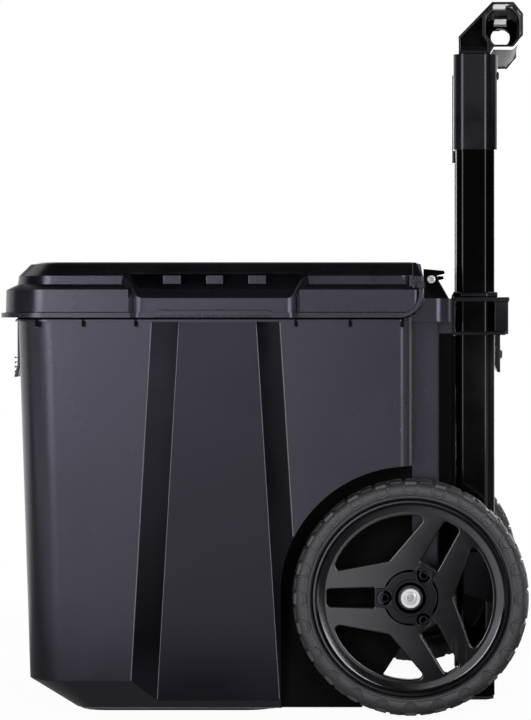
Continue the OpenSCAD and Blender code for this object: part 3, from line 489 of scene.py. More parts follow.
violet = (0.83, 0.79, 1.0)
finishes = {
    "caseBlack": dict(dark=(0.0046, 0.0043, 0.007), light=(0.0062, 0.0058, 0.0092), worn=(0.05, 0.05, 0.056),
        grain=1500, wear=0.3, dust=0.04, rough=0.25, bump=0.12, shine=0.66, tint=violet),
    "trimBlack": dict(dark=(0.004, 0.0038, 0.0052), light=(0.0056, 0.0053, 0.007), worn=(0.04, 0.04, 0.045),
        grain=1900, wear=0.3, dust=0.03, rough=0.17, bump=0.025, shine=0.42, tint=(0.86, 0.84, 1.0)),
    "wheelBlack": dict(dark=(0.0045, 0.0044, 0.005), light=(0.0075, 0.0073, 0.0083), worn=(0.07, 0.07, 0.074),
        grain=900, wear=0.4, dust=0.1, rough=0.08, bump=0.1, depth=0.0003, shine=1.0, tint=(0.92, 0.9, 1.0)),
    "insideBlack": dict(dark=(0.02, 0.02, 0.022), light=(0.027, 0.027, 0.03), worn=(0.06, 0.06, 0.064), grain=1100,
        wear=0.2, dust=0.1, rough=0.52, bump=0.2),
    # darker than caseBlack and a little smoother: partly the recess's smoother finish, partly painted shade in the
    # recess
    "caseSmoothShade": dict(dark=(0.0036, 0.0034, 0.0054), light=(0.005, 0.0047, 0.0074), worn=(0.03, 0.03, 0.034),
        grain=900, wear=0.2, dust=0.05, rough=0.22, bump=0.1, shine=0.38, tint=violet),
    # pale colour for edge beads: a painted highlight, not a worn edge
    "paintedEdgeHighlight": dict(dark=(0.15, 0.146, 0.17), light=(0.2, 0.195, 0.225), worn=(0.22, 0.22, 0.24), grain=1500,
        wear=0.1, dust=0.02, rough=0.3, bump=0.05),
    # flat black that stands in for shade: painted shade in the wheel well, on the spine, under the base, in the rim
    # notches, in the tube gap and inside the elbows and grip
    "paintedShadeBlack": dict(dark=(0.0026, 0.0026, 0.0032), light=(0.004, 0.004, 0.0048), worn=(0.02, 0.02, 0.022),
        grain=1200, wear=0, dust=0, rough=0.6, bump=0.1, shine=0.05),
    "padWhite": dict(dark=(0.78, 0.78, 0.77), light=(0.86, 0.86, 0.85), worn=(0.9, 0.9, 0.9), grain=1200, wear=0.2,
        dust=0.04, rough=0.42, bump=0.1),
    "gripGrey": dict(dark=(0.27, 0.27, 0.275), light=(0.36, 0.36, 0.365), worn=(0.62, 0.62, 0.63), grain=1300,
        wear=0.3, dust=0.04, rough=0.6, bump=0.2, shine=0.12),
    "buttonGrey": dict(dark=(0.3, 0.3, 0.31), light=(0.37, 0.37, 0.38), worn=(0.5, 0.5, 0.5), grain=1600, wear=0.3,
        dust=0.05, rough=0.32, bump=0.08),
    "rockerRed": dict(dark=(0.36, 0.022, 0.016), light=(0.44, 0.03, 0.022), worn=(0.5, 0.1, 0.08), grain=1600,
        wear=0.2, dust=0.04, rough=0.24, bump=0.05),
    "rubberBlack": dict(dark=(0.014, 0.014, 0.0145), light=(0.021, 0.021, 0.0215), worn=(0.05, 0.05, 0.05), grain=700,
        wear=0.3, dust=0.1, rough=0.68, bump=0.3, shine=0.45),
    "tyreRubber": dict(dark=(0.028, 0.0275, 0.0302), light=(0.042, 0.0413, 0.0448), worn=(0.085, 0.083, 0.085),
        grain=480, wear=0.5, dust=0.15, rough=0.46, bump=0.45, depth=0.0007, shine=0.7, tint=(0.92, 0.91, 1.0)),
    "boardGreen": dict(dark=(0.01, 0.075, 0.03), light=(0.016, 0.11, 0.045), worn=(0.3, 0.22, 0.1), grain=420,
        wear=0.6, dust=0.1, rough=0.35, bump=0.1),
}
metals = {
    "tubeGloss": dict(dark=(0.001, 0.001, 0.0013), light=(0.0016, 0.0016, 0.002), worn=(0.03, 0.03, 0.032),
        metallic=0, brush=(30, 30, 30), wear=0.2, rough=0.09, spread=0.02, bump=0.02, shine=0.25),
    "zincBright": dict(dark=(0.78, 0.78, 0.82), light=(0.86, 0.86, 0.9), worn=(0.9, 0.9, 0.92), metallic=0.55,
        brush=(200, 60, 200), wear=0.1, rough=0.42, spread=0.04, bump=0.01),
    "brightSteel": dict(dark=(0.56, 0.56, 0.57), light=(0.68, 0.68, 0.69), worn=(0.8, 0.8, 0.8), brush=(400, 60, 400),
        wear=0.3, rough=0.24, spread=0.08, bump=0.05),
    "darkSteel": dict(dark=(0.03, 0.03, 0.032), light=(0.05, 0.05, 0.053), worn=(0.3, 0.3, 0.3), metallic=0.8,
        brush=(200, 200, 200), wear=0.4, rough=0.38, spread=0.06, bump=0.05),
    "satinAlloy": dict(dark=(0.36, 0.36, 0.375), light=(0.45, 0.45, 0.465), worn=(0.75, 0.75, 0.75),
        brush=(300, 300, 8), wear=0.2, rough=0.32, spread=0.06, bump=0.06),
    "motorZinc": dict(dark=(0.34, 0.34, 0.35), light=(0.44, 0.44, 0.45), worn=(0.6, 0.6, 0.6), brush=(40, 40, 400),
        wear=0.3, rough=0.36, spread=0.08, bump=0.05),
}
mats = {name: plastic(name, look) for name, look in finishes.items()}
mats.update({name: metal(name, look) for name, look in metals.items()})
print("finishes made:", len(mats))


def dress(obj, node, finish):
    obj.data.materials.clear()
    obj.data.materials.append(mats[finish])
    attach(obj, bodyOf[node])


def settle(obj, node, finish):  # a piece that shows in its node's place
    dress(obj, node, finish)
    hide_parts(node)


def addOn(obj, node, finish):  # a piece that rides beside its node
    dress(obj, node, finish)


# wheels: three-spoke moulded rim, lugged tyre, hub plate with screws and a bright axle cap
wheel = dict(place=(0.158375, -0.223, 0.127), spokes=(60, 180, 300), windows=(0, 120, 240), rimR=0.098, boreR=0.0115,
    windowR=0.088, windowIn=0.046, windowArc=(-41, -30, -24, -18, -12, -6, 0, 6, 12, 18, 24, 30, 41), corner=0.0052,
    slotX=(0.039, 0.0897), slotHalf=0.0097, slotTaper=0.0006, slotRound=(0.0008, 0.0042, 0.0042, 0.0008), hubR=0.0288,
    hubArc=(44, 60, 76), lobeX=(0.0262, 0.0386), lobeHalf=0.0102, lobeRound=(0.01, 0.0022), screwR=0.0278,
    screwHole=0.0074, spokeZ=(0.001, 0.0115, 0.0017, 4), plateZ=(0.0112, 0.014, 0.0007), plateBore=0.0165, hubEase=0.02)
wheelTurned = {  # (radius, height) in mm from the wheel's middle plane
    "rimRing": [(91.2, 3), (91.4, 10.6), (92.2, 11.6), (98.4, 12.2), (100, 13.1),
        (101.2, 16.8), (102.4, 18.2), (104.2, 18.2), (105.2, 17.2), (105.6, 15), (105.6, -18),
        (104.6, -20.5), (99.6, -20.8), (98.4, -19.5), (98.2, -3), (96.5, 0)],
    "hubBarrel": [(10.5, 11.5), (30, 11.5), (31.5, 10.2), (31.8, 2), (21.5, -0.5),
        (20.5, -19.5), (19.5, -20.5), (10.5, -20.5)],
    "hubCollar": [(16.5, 11.5), (16.5, 14.5), (17.2, 15), (19.4, 15), (20.1, 14.3),
        (20.1, 11.5)],
    "hubScrew": [(0.1, 11.4), (2.9, 11.4), (3, 13.8), (3.6, 14.5), (4.6, 14.4),
        (5.6, 13.4), (5.7, 11.2), (0.1, 11.2)],
    "axleCap": [(0.1, 17.2), (3.6, 17.3), (3.9, 18), (4.4, 18.4), (5.2, 18.4),
        (5.6, 18), (5.8, 16.8), (6.6, 16.8), (6.8, 18.2), (7.4, 18.8), (10, 18.8),
        (10.6, 18.2), (10.7, 12.8), (10, 12.3), (0.1, 12.3)],
    "tyreCarcass": [(106.2, -19.5), (106.2, 17.2), (106.8, 19.4), (108.2, 21), (109.5, 21.1),
        (110.2, 21.8), (112.5, 22.6), (116, 22.8), (119.6, 22.2), (122.6, 20), (124.4, 16.5),
        (125.3, 11), (125.4, 0), (125.3, -11), (124.4, -16.5), (122.6, -20), (119.6, -22.2),
        (116, -22.8), (112.5, -22.6), (108.2, -21.3)],
}
tread = dict(count=24, rows=((0.0, 0.0), (7.5, 0.0035)), low=(0.1205, -0.0068, 0.0075), high=(0.1269, 0.0068, 0.0206),
    shoulder=(0.122, 0.0155), fall=0.0016, markAt=0.1196, markR=(0.0074, 0.0017), markCut=0.1205, markUp=0.0224,
    markFrom=0.116, markLean=0.22, middle=((0.1235, -0.0062, -0.0062), (0.127, 0.0062, 0.0062)), skew=24,
    skewAt=(0.12, 0, 0), between=3.75, lugEdge=0.0007, lugTop=0.94, shrink=0.9, middleShrink=0.88)


def wheelRound(name, steps):
    return turned(name, wheelTurned[name], steps)


def onWheel(parts, name, angle=32):
    return crisp(setInPlace(joinAll(parts, name), wheel["place"]), angle)


def rimPiece():
    outlines = [circleLoop(wheel["rimR"], 90)]
    c = wheel["corner"]
    for a in wheel["windows"]:
        arc = [polar(wheel["windowR"], a + d) for d in wheel["windowArc"]]
        outlines.append(rounded([polar(wheel["windowIn"], a)] + arc, [c, c] + [0] * (len(arc) - 2) + [c]))
    (x0, x1), w, t = wheel["slotX"], wheel["slotHalf"], wheel["slotTaper"]
    slot = rounded([(x0, -w - t), (x1, -w + t), (x1, w - t), (x0, w + t)], wheel["slotRound"])
    outlines += [[turnPoint(p, a) for p in slot] for a in wheel["spokes"]]
    outlines.append(circleLoop(wheel["boreR"], 48))
    spokes = cutPlate("wheelSpokes", outlines, *wheel["spokeZ"])
    return onWheel([spokes, wheelRound("rimRing", 120), wheelRound("hubBarrel", 64)], "wheelRim.left", 34)


def hubPlatePiece():
    (near, far), w, (inner, outer) = wheel["lobeX"], wheel["lobeHalf"], wheel["lobeRound"]
    lobe = (((near, -w), inner), ((far, -w), outer), ((far, w), outer), ((near, w), inner))
    corners = []
    for a in wheel["spokes"]:
        corners += [(turnPoint(p, a), r) for p, r in lobe]
        corners += [(polar(wheel["hubR"], a + d), wheel["hubEase"]) for d in wheel["hubArc"]]
    outlines = [rounded(*[list(row) for row in zip(*corners)]), circleLoop(wheel["plateBore"], 56)]
    outlines += [circleLoop(wheel["screwHole"], 32, polar(wheel["screwR"], a)) for a in wheel["spokes"]]
    plate = cutPlate("hubPlate", outlines, *wheel["plateZ"])
    return onWheel([plate, wheelRound("hubCollar", 64)], "hubPlate.left")


def hubScrewPieces():
    screws = [wheelRound("hubScrew", 30) for a in wheel["spokes"]]
    for screw, a in zip(screws, wheel["spokes"]):
        setInPlace(screw, (*polar(wheel["screwR"], a), 0), (0, 0, 0))
    return onWheel(screws, "hubScrews.left")


def around(obj):  # copies it round the wheel
    pickAll(obj)
    bpy.ops.mesh.spin(steps=tread["count"], dupli=True, angle=2 * math.pi, center=(0, 0, 0), axis=(0, 0, 1))
    selectAll()
    mergePicked(0.00001)
    objectMode()
    return obj


def turnPicked(degrees, axis, at=(0, 0, 0)):
    bpy.ops.transform.rotate(value=math.radians(degrees), orient_axis=axis, center_override=at)


def lug(low, high, shrink):  # a tread block, narrower on top
    made = newBox("treadLug", low, high)
    pick(made, "FACE", lambda f: f.normal.x > 0.9)
    bpy.ops.transform.resize(value=(1, shrink, tread["lugTop"]))
    objectMode()
    softEdges(made, tread["lugEdge"], 1)
    return made


def shoulderLug(side, turn, reach):
    x, y, z = tread["high"]
    made = lug(tread["low"], (x, y, z - reach), tread["shrink"])
    overX, overZ = tread["shoulder"]
    pick(made, "VERT", lambda c: c.x > overX and c.z > overZ - reach)
    movePicked(-tread["fall"], 0, 0)  # the shoulder falls away
    pickAll(made)
    if side < 0:
        bpy.ops.transform.mirror(constraint_axis=(False, False, True), center_override=(0, 0, 0))
        bpy.ops.mesh.flip_normals()
    turnPicked(turn, "Z")
    objectMode()
    return around(made)


def sideMark(side):  # raised C on the tyre's wall
    takeUp()
    major, minor = tread["markR"]
    bpy.ops.mesh.primitive_torus_add(major_radius=major, minor_radius=minor, major_segments=20, minor_segments=6,
                                     location=(tread["markAt"], 0, 0))
    mark = bpy.context.object
    applyPlace()
    pickAll(mark)
    bpy.ops.mesh.bisect(plane_co=(tread["markCut"], 0, 0), plane_no=(1, 0, 0), clear_outer=True, use_fill=True)
    selectAll()
    movePicked(0, 0, tread["markUp"] * side)
    for v in mark.data.vertices:
        v.co.z -= side * max(0.0, v.co.x - tread["markFrom"]) * tread["markLean"]
    return around(mark)


def tyrePiece():
    parts = [wheelRound("tyreCarcass", 144)]
    for side in (1, -1):
        parts += [shoulderLug(side, turn, reach) for turn, reach in tread["rows"]]
        parts.append(sideMark(side))
    centre = lug(*tread["middle"], tread["middleShrink"])
    pickAll(centre)
    turnPicked(tread["skew"], "X", tread["skewAt"])
    turnPicked(tread["between"], "Z")
    objectMode()
    return onWheel(parts + [around(centre)], "tyre.left", 40)


for build, finish, kind in ((rimPiece, "wheelBlack", "wheel_rim"), (hubPlatePiece, "trimBlack", "hub_plate"),
                            (hubScrewPieces, "trimBlack", "hub_screws"), (tyrePiece, "tyreRubber", "tyre")):
    for obj, side in zip(bothSides([build()]), ("_left", "_right")):
        settle(obj, kind + side, finish)
    print(kind, len(obj.data.polygons), "faces")
cap = crisp(setInPlace(wheelRound("axleCap", 48), wheel["place"]))
settle(joinAll(bothSides([cap]), "axleCaps"), "axle_caps", "zincBright")
print("wheels done")


# lid: hollowed sides with three lugs, a lip that turns up round the rear corners and solid corner posts
lid = dict(wallIn=0.2395, slopeIn=0.2275, wallOut=0.246, upperOut=0.234, low=0.4327, knee=0.448, high=0.475,
    inX=((-0.1324, 0.0309), (-0.147, 0.045)), outX=((-0.143, 0.0405), (-0.1536, 0.051)), fillet=0.0046,
    rampRise=0.009, cutReach=2.2, trayReach=0.66, trayThick=0.0024,
    lip=((-0.1335, -0.256, 0.4255), (0.032, -0.2456, 0.4334)), lipFlare=1.18, lipMid=-0.0508,
    scoopEnd=[(-0.2457, 0.4475), (-0.2455, 0.457), (-0.234, 0.463), (-0.233, 0.472), (-0.229, 0.472),
    (-0.241, 0.4475)], endX=(0.039, 0.0452, 0), lugX=((-0.1066, -0.0873), (-0.0606, -0.0424), (-0.0156, 0.0037)),
    lug=[(-0.229, 0.4634), (-0.229, 0.4722), (-0.2384, 0.4722), (-0.239, 0.4634)], stepX=(-0.115, 0.0105),
    stepZ=(0.4275, 0.4325, 0.4352), stepEase=0.003, stepOut=(0.239, 0.2464, 0.0006), bars=13, barFrom=0.0068,
    barPitch=0.0092, barLong=0.0064, barZ=(0.4284, 0.4303), barOut=(0.2458, 0.2472, 0.0004, 1),
    corner=(0.146875, 0.4523), rib=(0.0205, 0.025), ribTop=0.459, ribOut=(0.244, 0.2504, 0.0008), ribFrom=-96,
    boss=[(0.1, 5.2), (2, 5.2), (2.4, 6), (3.6, 6), (4.2, 5.3), (4.3, 0), (0.1, 0)],
    bossAt=(0.1694, -0.2455, 0.4615), postX=(0.16, 0.1717, 0.0016), postEase=0.0068,
    post=[(-0.222, 0.456), (-0.222, 0.4862), (-0.225, 0.4862), (-0.24, 0.4715), (-0.2416, 0.456)],
    hollowX=(0.149, 0.161), hollowY=(-0.241, -0.229), hollowR=0.008, hollowZ=(0.4605, 0.4726, 0.0003),
    lugEdge=0.0008, lipRound=0.003, scoopRound=0.0022, edge=0.001)


def scoopForm(name, reach):  # the hollow of the left side, drawn out of the wall by reach
    form = newBox(name, (-1, -1, -1), (1, 1, 1))
    pickAll(form, "FACE")
    bpy.ops.mesh.bisect(plane_co=(0, 0, 0), plane_no=(0, 0, 1))  # the knee between band and slope
    objectMode()
    for v in form.data.vertices:
        end = int(v.co.x > 0)
        level = int(v.co.z > 0.5)
        deep = Vector((lid["inX"][level][end], -(lid["slopeIn"] if level else lid["wallIn"]), 0))
        face = Vector((lid["outX"][level][end], -(lid["upperOut"] if level else lid["wallOut"]), 0))
        place = deep + (face - deep) * (reach if v.co.y < 0 else 0.0)
        climbs = v.co.y < 0 and abs(v.co.z) < 0.5  # the end ramps climb to the skirt's corner
        rise = lid["rampRise"] * reach if climbs else 0.0
        v.co = (place.x, place.y, (lid["low"], lid["knee"], lid["high"])[int(round(v.co.z)) + 1] + rise)
    deepAt = lambda c: abs(c.y + (lid["slopeIn"] if c.z > 0.46 else lid["wallIn"])) < 0.0002
    upright = lambda a, b: a.x * b.x > 0 and abs(a.z - b.z) > 0.01 and abs(a.x - b.x) < 0.05
    pick(form, "EDGE", lambda a, b: deepAt(a) and deepAt(b) and upright(a, b))
    roundPicked(lid["fillet"], 4)
    pickAll(form, "EDGE")
    bpy.ops.mesh.normals_make_consistent(inside=False)
    objectMode()
    return form


def lipForm():  # the lip follows the hollow
    form = newBox("lipCut", *lid["lip"])
    pick(form, "FACE", lambda f: f.normal.y < -0.9)
    bpy.ops.transform.resize(value=(lid["lipFlare"], 1, 1), center_override=(lid["lipMid"], 0, 0))
    objectMode()
    pick(form, "EDGE", lambda a, b: a.y > -0.247 and b.y > -0.247 and abs(a.x - b.x) < 0.0001)
    roundPicked(lid["lipRound"], 4)
    return form


def trayForm():  # the hollow's own floor and ends
    tray = scoopForm("scoopTray", lid["trayReach"])
    pick(tray, "FACE", lambda f: f.normal.y < -0.5)
    bpy.ops.mesh.delete(type="FACE")
    objectMode()
    applyModifier(tray, "SOLIDIFY", thickness=lid["trayThick"], offset=1.0, use_even_offset=True)
    return tray


def lidFittings():  # what stands on the left side of the lid
    parts = [prismAlong("scoopLug", [lid["lug"]], low, high, lid["lugEdge"]) for low, high in lid["lugX"]]
    (x0, x1), (z0, z1, z2), ease = lid["stepX"], lid["stepZ"], lid["stepEase"]
    step = [(x0, z0), (x1, z0), (x1, z1), (x1 - ease, z2), (x0 + ease, z2), (x0, z1)]
    parts.append(sidePlate("lipStep", [step], *lid["stepOut"]))
    for k in range(lid["bars"]):
        x = x0 + lid["barFrom"] + k * lid["barPitch"]
        parts.append(sidePlate("lipBar", [block(x, x + lid["barLong"], *lid["barZ"])], *lid["barOut"]))
    at, (inner, outer), top, start = lid["corner"], lid["rib"], lid["ribTop"], lid["ribFrom"]
    ends = [(at[0] + outer, top), (at[0] + inner, top)]
    rib = arcPoints(at, outer, start, 0) + ends + arcPoints(at, inner, 0, start)
    parts.append(sidePlate("cornerRib", [rib], *lid["ribOut"]))
    parts.append(setInPlace(turned("cornerBoss", lid["boss"], 28), lid["bossAt"]))
    (x0, x1), (y0, y1) = lid["hollowX"], lid["hollowY"]
    hollow = arcPoints((x0, y0), lid["hollowR"], 90, 0, 8) + [(x1, y0), (x1, y1), (x0, y1)]
    parts.append(cutPlate("postHollow", [hollow], *lid["hollowZ"]))
    post = prismAlong("cornerPost", [lid["post"]], *lid["postX"])
    pick(post, "VERT", lambda c: c.x > 0.169 and c.z > 0.48)
    movePicked(-lid["postEase"], 0, 0)
    return parts + [post]


def lidPiece():
    shell = fromNode("lid_shell", "lidShell")
    trays = []
    for mirrored in (False, True):
        closing = prismAlong("scoopEnd", [lid["scoopEnd"]], *lid["endX"])
        forms = [closing, scoopForm("scoopCut", lid["cutReach"]), lipForm(), trayForm()]
        if mirrored:
            left, forms = forms, [mirrorCopy(o) for o in forms]
            for o in left:
                bpy.data.objects.remove(o, do_unlink=True)
        closing, cutter, lip, tray = forms
        combine(shell, closing, "UNION")
        carve(shell, cutter)
        carve(shell, lip)
        trays.append(tray)
    joinAll([shell] + trays, "lidShell")
    pickAll(shell)
    flattenPicked()
    upright = lambda a, b: abs(a.z - b.z) > 0.012 and min(abs(a.y), abs(b.y)) > 0.244 and abs(a.x - b.x) < 0.0015
    pick(shell, "EDGE", lambda a, b: upright(a, b) and min(abs(a.x - x) for x in lid["outX"][0]) < 0.0015)
    roundPicked(lid["scoopRound"], 4)
    softEdges(shell, lid["edge"], 2, 15)
    return crisp(joinAll([shell] + bothSides(lidFittings()), "lidShell"), 17)


settle(lidPiece(), "lid_shell", "caseBlack")
print("lid done")


# case: moulded tub with pale beads painted as highlights along the recess edges, a dark seal gap under the lid and
# short ribs below the rim
case = dict(front=-0.267125, rear=0.159875, half=0.24, rim=0.427, slopeTop=0.037, floor=0.003, draft=0.011,
    height=0.424, panelX=-0.050125, panelTop=0.083, panelBase=0.134, ramp=0.027, recess=0.024, bead=0.0006,
    lineTop=0.4225, lineFeet=(0.0372, 0.0138, 0.0138, 0.193), baseX=(-0.196, 0.01), baseZ=0.0031, archTop=0.2676,
    spineEdge=0.189, spineZ=(0.04, 0.41), recessTop=0.422, liningThick=0.0006, recessThick=0.0003, flange=0.004,
    frontOver=0.003, frontCorner=0.042, gapLow=0.425, gapIn=0.0036, ribFoot=0.412, ribLift=0.0045,
    notches=(0.026, 0.076, 0.132, 0.303, 0.361, 0.417), notchHalf=0.0017, notchZ=(0.4252, 0.4172),
    notchOut=(0.2396, 0.2441, 0.0006), gusset=(0.1721, 0.178, 0.4478, 0.469), gussetOut=(0.1822, 0.1868, 0.0005),
    skid=((-0.204, 0.011, -0.194, 0.194, 0.03), (-0.1965, 0.0035, -0.1865, 0.1865, 0.0225)),
    skidZ=(0.0003, 0.0031, 0.0008), rail=(0.11, 0.133, 0.1695, 0.407, 0.003), railX=0.203,
    railGroove=(0.119, 0.124, 0.176, 0.4, 0.0022), railOut=(0, 0.0046, 0.0008), grooveOut=(0.0036, 0.006, 0),
    recessRound=0.003, edge=0.0015, notchRound=(0.0003, 0.0003, 0.0015, 0.0015), gussetRound=(0, 0, 0.001, 0.001))


def lean(z):
    return case["draft"] * (case["rim"] - z) / (case["rim"] - case["slopeTop"])


def panelEdges(z):  # the four edge lines of the side recess at one height, front to rear
    share = (case["rim"] - z) / case["height"]
    half = (case["panelTop"] + (case["panelBase"] - case["panelTop"]) * share) / 2
    out, x = case["half"] - lean(z), case["panelX"]
    ramp, deep = half + case["ramp"], out - case["recess"]
    return [(x - ramp, -out, z), (x - half, -deep, z), (x + half, -deep, z), (x + ramp, -out, z)]


def rimOutward(c):  # way out of the rim's outer edge at a point, or none
    near = 0.0006
    cx = case["front"] - case["frontOver"] + case["frontCorner"]
    cy = case["half"] + case["flange"] - case["frontCorner"]
    if c.x < cx and abs(c.y) > cy:
        way = Vector((c.x - cx, c.y - math.copysign(cy, c.y), 0))
        return way.normalized() if way.length > case["frontCorner"] - near else None
    if c.x < case["front"] - 0.0025:
        return Vector((-1, 0, 0))
    if abs(c.y) > case["half"] + case["flange"] - near and c.x < 0.15:
        return Vector((0, math.copysign(1, c.y), 0))
    return None


def casePiece():
    tub = fromNode("case_shell", "caseShell")
    pick(tub, "VERT", lambda c: abs(c.z - case["ribFoot"]) < 0.0003 and abs(c.y) > 0.2365)
    movePicked(0, 0, case["ribLift"])
    pickAll(tub)
    bpy.ops.mesh.bisect(plane_co=(0, 0, case["gapLow"]), plane_no=(0, 0, 1))
    objectMode()
    for v in tub.data.vertices:
        way = rimOutward(v.co) if v.co.z > case["rim"] - 0.0003 else None
        if way:
            v.co -= way * case["gapIn"]
    pick(tub, "EDGE", lambda a, b: abs(a.z - b.z) > 0.1 and abs(a.y) > 0.19 and -0.17 < a.x < 0.07, 20)
    roundPicked(case["recessRound"], 5)  # edges of the side recess
    softEdges(tub, case["edge"])
    return crisp(tub, 24)


def rimNotches():  # dark marks between the short ribs and the rim, painted as the shade there
    marks = []
    for x in case["notches"]:
        at, w = case["front"] + x, case["notchHalf"]
        outline = block(at - w, at + w, *case["notchZ"], case["notchRound"])
        marks.append(sidePlate("rimNotch", [outline], *case["notchOut"]))
    return crisp(joinAll(bothSides(marks), "rimNotches"))


def bead(name, start, end, radius):  # a fine rounded line along an edge
    a, b = Vector(start), Vector(end)
    takeUp()
    bpy.ops.mesh.primitive_cylinder_add(vertices=10, radius=radius, depth=(b - a).length, location=(a + b) / 2,
                                        rotation=(b - a).to_track_quat("Z", "Y").to_euler())
    obj = bpy.context.object
    obj.name = name
    applyPlace()
    softEdges(obj, radius * 0.5, 1, 60)
    return obj


def recessLines():  # pale beads painted as the highlights along the edges of the side recess and the base
    top, r = panelEdges(case["lineTop"]), case["bead"]
    lines = [bead("recessLine", top[n], panelEdges(low)[n], r) for n, low in enumerate(case["lineFeet"])]
    foot = max(abs(v.co.y) for v in nodes["case_shell"].data.vertices if v.co.z < case["floor"] + 0.0005) + 0.0005
    lines.append(bead("baseLine", *[(x, -foot, case["baseZ"]) for x in case["baseX"]], r))
    return crisp(joinAll(bothSides(lines), "recessLines"))


def inWell(f):
    c, n, side = f.center, f.normal, abs(f.center.y)
    if side < 0.185 or c.x < 0.012 or c.z > 0.275:
        return False
    toAxle = Vector(wheel["place"]) - c
    toAxle.y = 0
    return (abs(n.y) > 0.9 and side < 0.195) or (abs(n.y) < 0.35 and n.dot(toAxle) > 0.02)


def inSpine(f):
    c, n = f.center, f.normal
    return abs(n.y) > 0.9 and 0.13 < abs(c.y) < 0.195 and c.x > 0.16 and c.z < 0.4 and n.y * c.y > 0


def inRecess(f):
    c, n = f.center, f.normal
    if not (-0.17 < c.x < 0.07 and c.z > 0.03 and 0.19 < abs(c.y) < 0.239 and n.y * c.y > 0):
        return False
    return 0.4 < abs(n.x) < 0.9 or (abs(n.y) > 0.95 and abs(c.y) < 0.222)


def lining(name, test, thick, *planes):  # a thin skin on some of the tub's faces, trimmed at planes
    skin = fromNode("case_shell", name)
    pick(skin, "FACE", test)
    selectAll("INVERT")
    bpy.ops.mesh.delete(type="FACE")
    cutAway(*planes)
    applyModifier(skin, "SOLIDIFY", thickness=thick, offset=1.0)
    return crisp(skin, 24)


def earGussets():  # small webs between the hinge ears and the deck
    web = sidePlate("earGusset", [block(*case["gusset"], case["gussetRound"])], *case["gussetOut"])
    return crisp(joinAll(bothSides([web]), "earGussets"))


def tubeRails():  # flat black strips that close the gap between the spine and the tubes, painted as the shade in that gap
    rail = cutPlate("tubeRail", [block(*case["rail"])], *case["railOut"])
    carve(rail, cutPlate("railGroove", [block(*case["railGroove"])], *case["grooveOut"]))
    return crisp(joinAll(bothSides([setInPlace(rail, (case["railX"], 0, 0), outBack)]), "tubeRails"))


rearCut, archCut = ((case["rear"] - 0.0002, 0, 0), (1, 0, 0)), ((0, 0, case["archTop"]), (0, 0, 1))
spineLow, spineTop = case["spineZ"]
spineCuts = ((case["spineEdge"], 0, 0), (-1, 0, 0)), ((0, 0, spineTop), (0, 0, 1)), ((0, 0, spineLow), (0, 0, -1))
skid = [block(*edge) for edge in case["skid"]]  # dark frame under the base, painted shade for the underside
thick = case["liningThick"]
# flat black skin on the spine's sides: painted shade for the recess behind the case
addOn(lining("spineShadeLining", inSpine, thick, *spineCuts), "case_shell", "paintedShadeBlack")
addOn(earGussets(), "case_shell", "tubeGloss")
# darker skin on the recess floor and ramps: partly a smoother finish, partly painted shade for the recess
recessShadeSkin = lining("recessShadeLining", inRecess, case["recessThick"], ((0, 0, case["recessTop"]), (0, 0, 1)))
addOn(recessShadeSkin, "case_shell", "caseSmoothShade")
# flat black frame: painted shade under the base
addOn(crisp(cutPlate("baseShadeFrame", skid, *case["skidZ"])), "case_shell", "paintedShadeBlack")
# flat black strips: painted shade in the gap behind the spine
addOn(tubeRails(), "case_shell", "paintedShadeBlack")
# pale beads whose colour is a painted highlight along the recess and base edges
addOn(recessLines(), "case_shell", "paintedEdgeHighlight")
# flat black skin in the wheel well: painted shade for the deep well
addOn(lining("wellShadeLining", inWell, thick, rearCut, archCut), "case_shell", "paintedShadeBlack")
# flat black marks: painted shade below the rim
addOn(rimNotches(), "case_shell", "paintedShadeBlack")
settle(casePiece(), "case_shell", "caseBlack")
print("case done")


# handle: hollow elbows with thin rims and floors painted black as shade, a pale grip whose inside is painted black as
# shade, soft-cornered collars
handle = dict(x=0.229375, foot=0.7203, inner=0.1075, outer=0.1355, gripX=0.260375, gripZ=0.753, halfD=0.0215,
    halfH=0.0245, rim=0.0009, bore=0.011, sectionCut=(0.52, 0.48), tubeY=0.1215, hollow=[(0.2132, 0.7246),
    (0.2132, 0.7381), (0.237, 0.763), (0.237, 0.741), (0.2424, 0.7334), (0.2424, 0.7246)],
    web=[(0.2122, 0.7236), (0.2122, 0.739), (0.238, 0.7655), (0.238, 0.7405), (0.2434, 0.733), (0.2434, 0.7236)],
    seat=[(0.2122, 0.7236), (0.2122, 0.729), (0.2434, 0.729), (0.2434, 0.7236)],
    slot=((-0.012, -0.1325, 0.768), (0.003, -0.1195, 0.79)),
    pad=((-0.0117, -0.133, 0.77), (0.0027, -0.1198, 0.7772)), buttonHalf=(0.0076, 0.0261),
    buttonZ=(0.7605, 0.7655, 0.79), skin=0.0005, elbow=(0.0188, 0.019, 0.0186, 0.0207, 0.0169, 0.0014),
    elbowRound=(0.0006, *[0.0022] * 6, 0.0008, 0.0004, 0.0006), pocketIn=0.002, rimIn=0.0012, pocketRound=0.0012,
    webRound=0.001, webOut=(0.11, 0.113, 0.0004), seatOut=(0.109, 0.1314, 0.0004), rimOut=(0.1348, 0.1359, 0.0004),
    sleeve=((-0.001, 0.015), (-0.0026, 0.0135)), lining=((-0.0025, 0.0135), (-0.0038, 0.012)), core=(-0.003, 0.013),
    coreOut=(-0.002, 0.002, 0.0005), sleeveEdge=0.0006, liningEdge=0.0003)


def gripLoop(grow):  # eight-sided section of the grip
    d, h = handle["halfD"] + grow, handle["halfH"] + grow
    u, v = handle["sectionCut"]
    shape = ((d, -v * h), (d, v * h), (u * d, h), (-u * d, h), (-d, v * h), (-d, -v * h), (-u * d, -h), (u * d, -h))
    return [(handle["gripX"] + x, handle["gripZ"] + z) for x, z in shape]


def gripBox(name, low, high):  # a box placed from the grip's middle in X
    return newBox(name, *[(handle["gripX"] + x, y, z) for x, y, z in (low, high)])


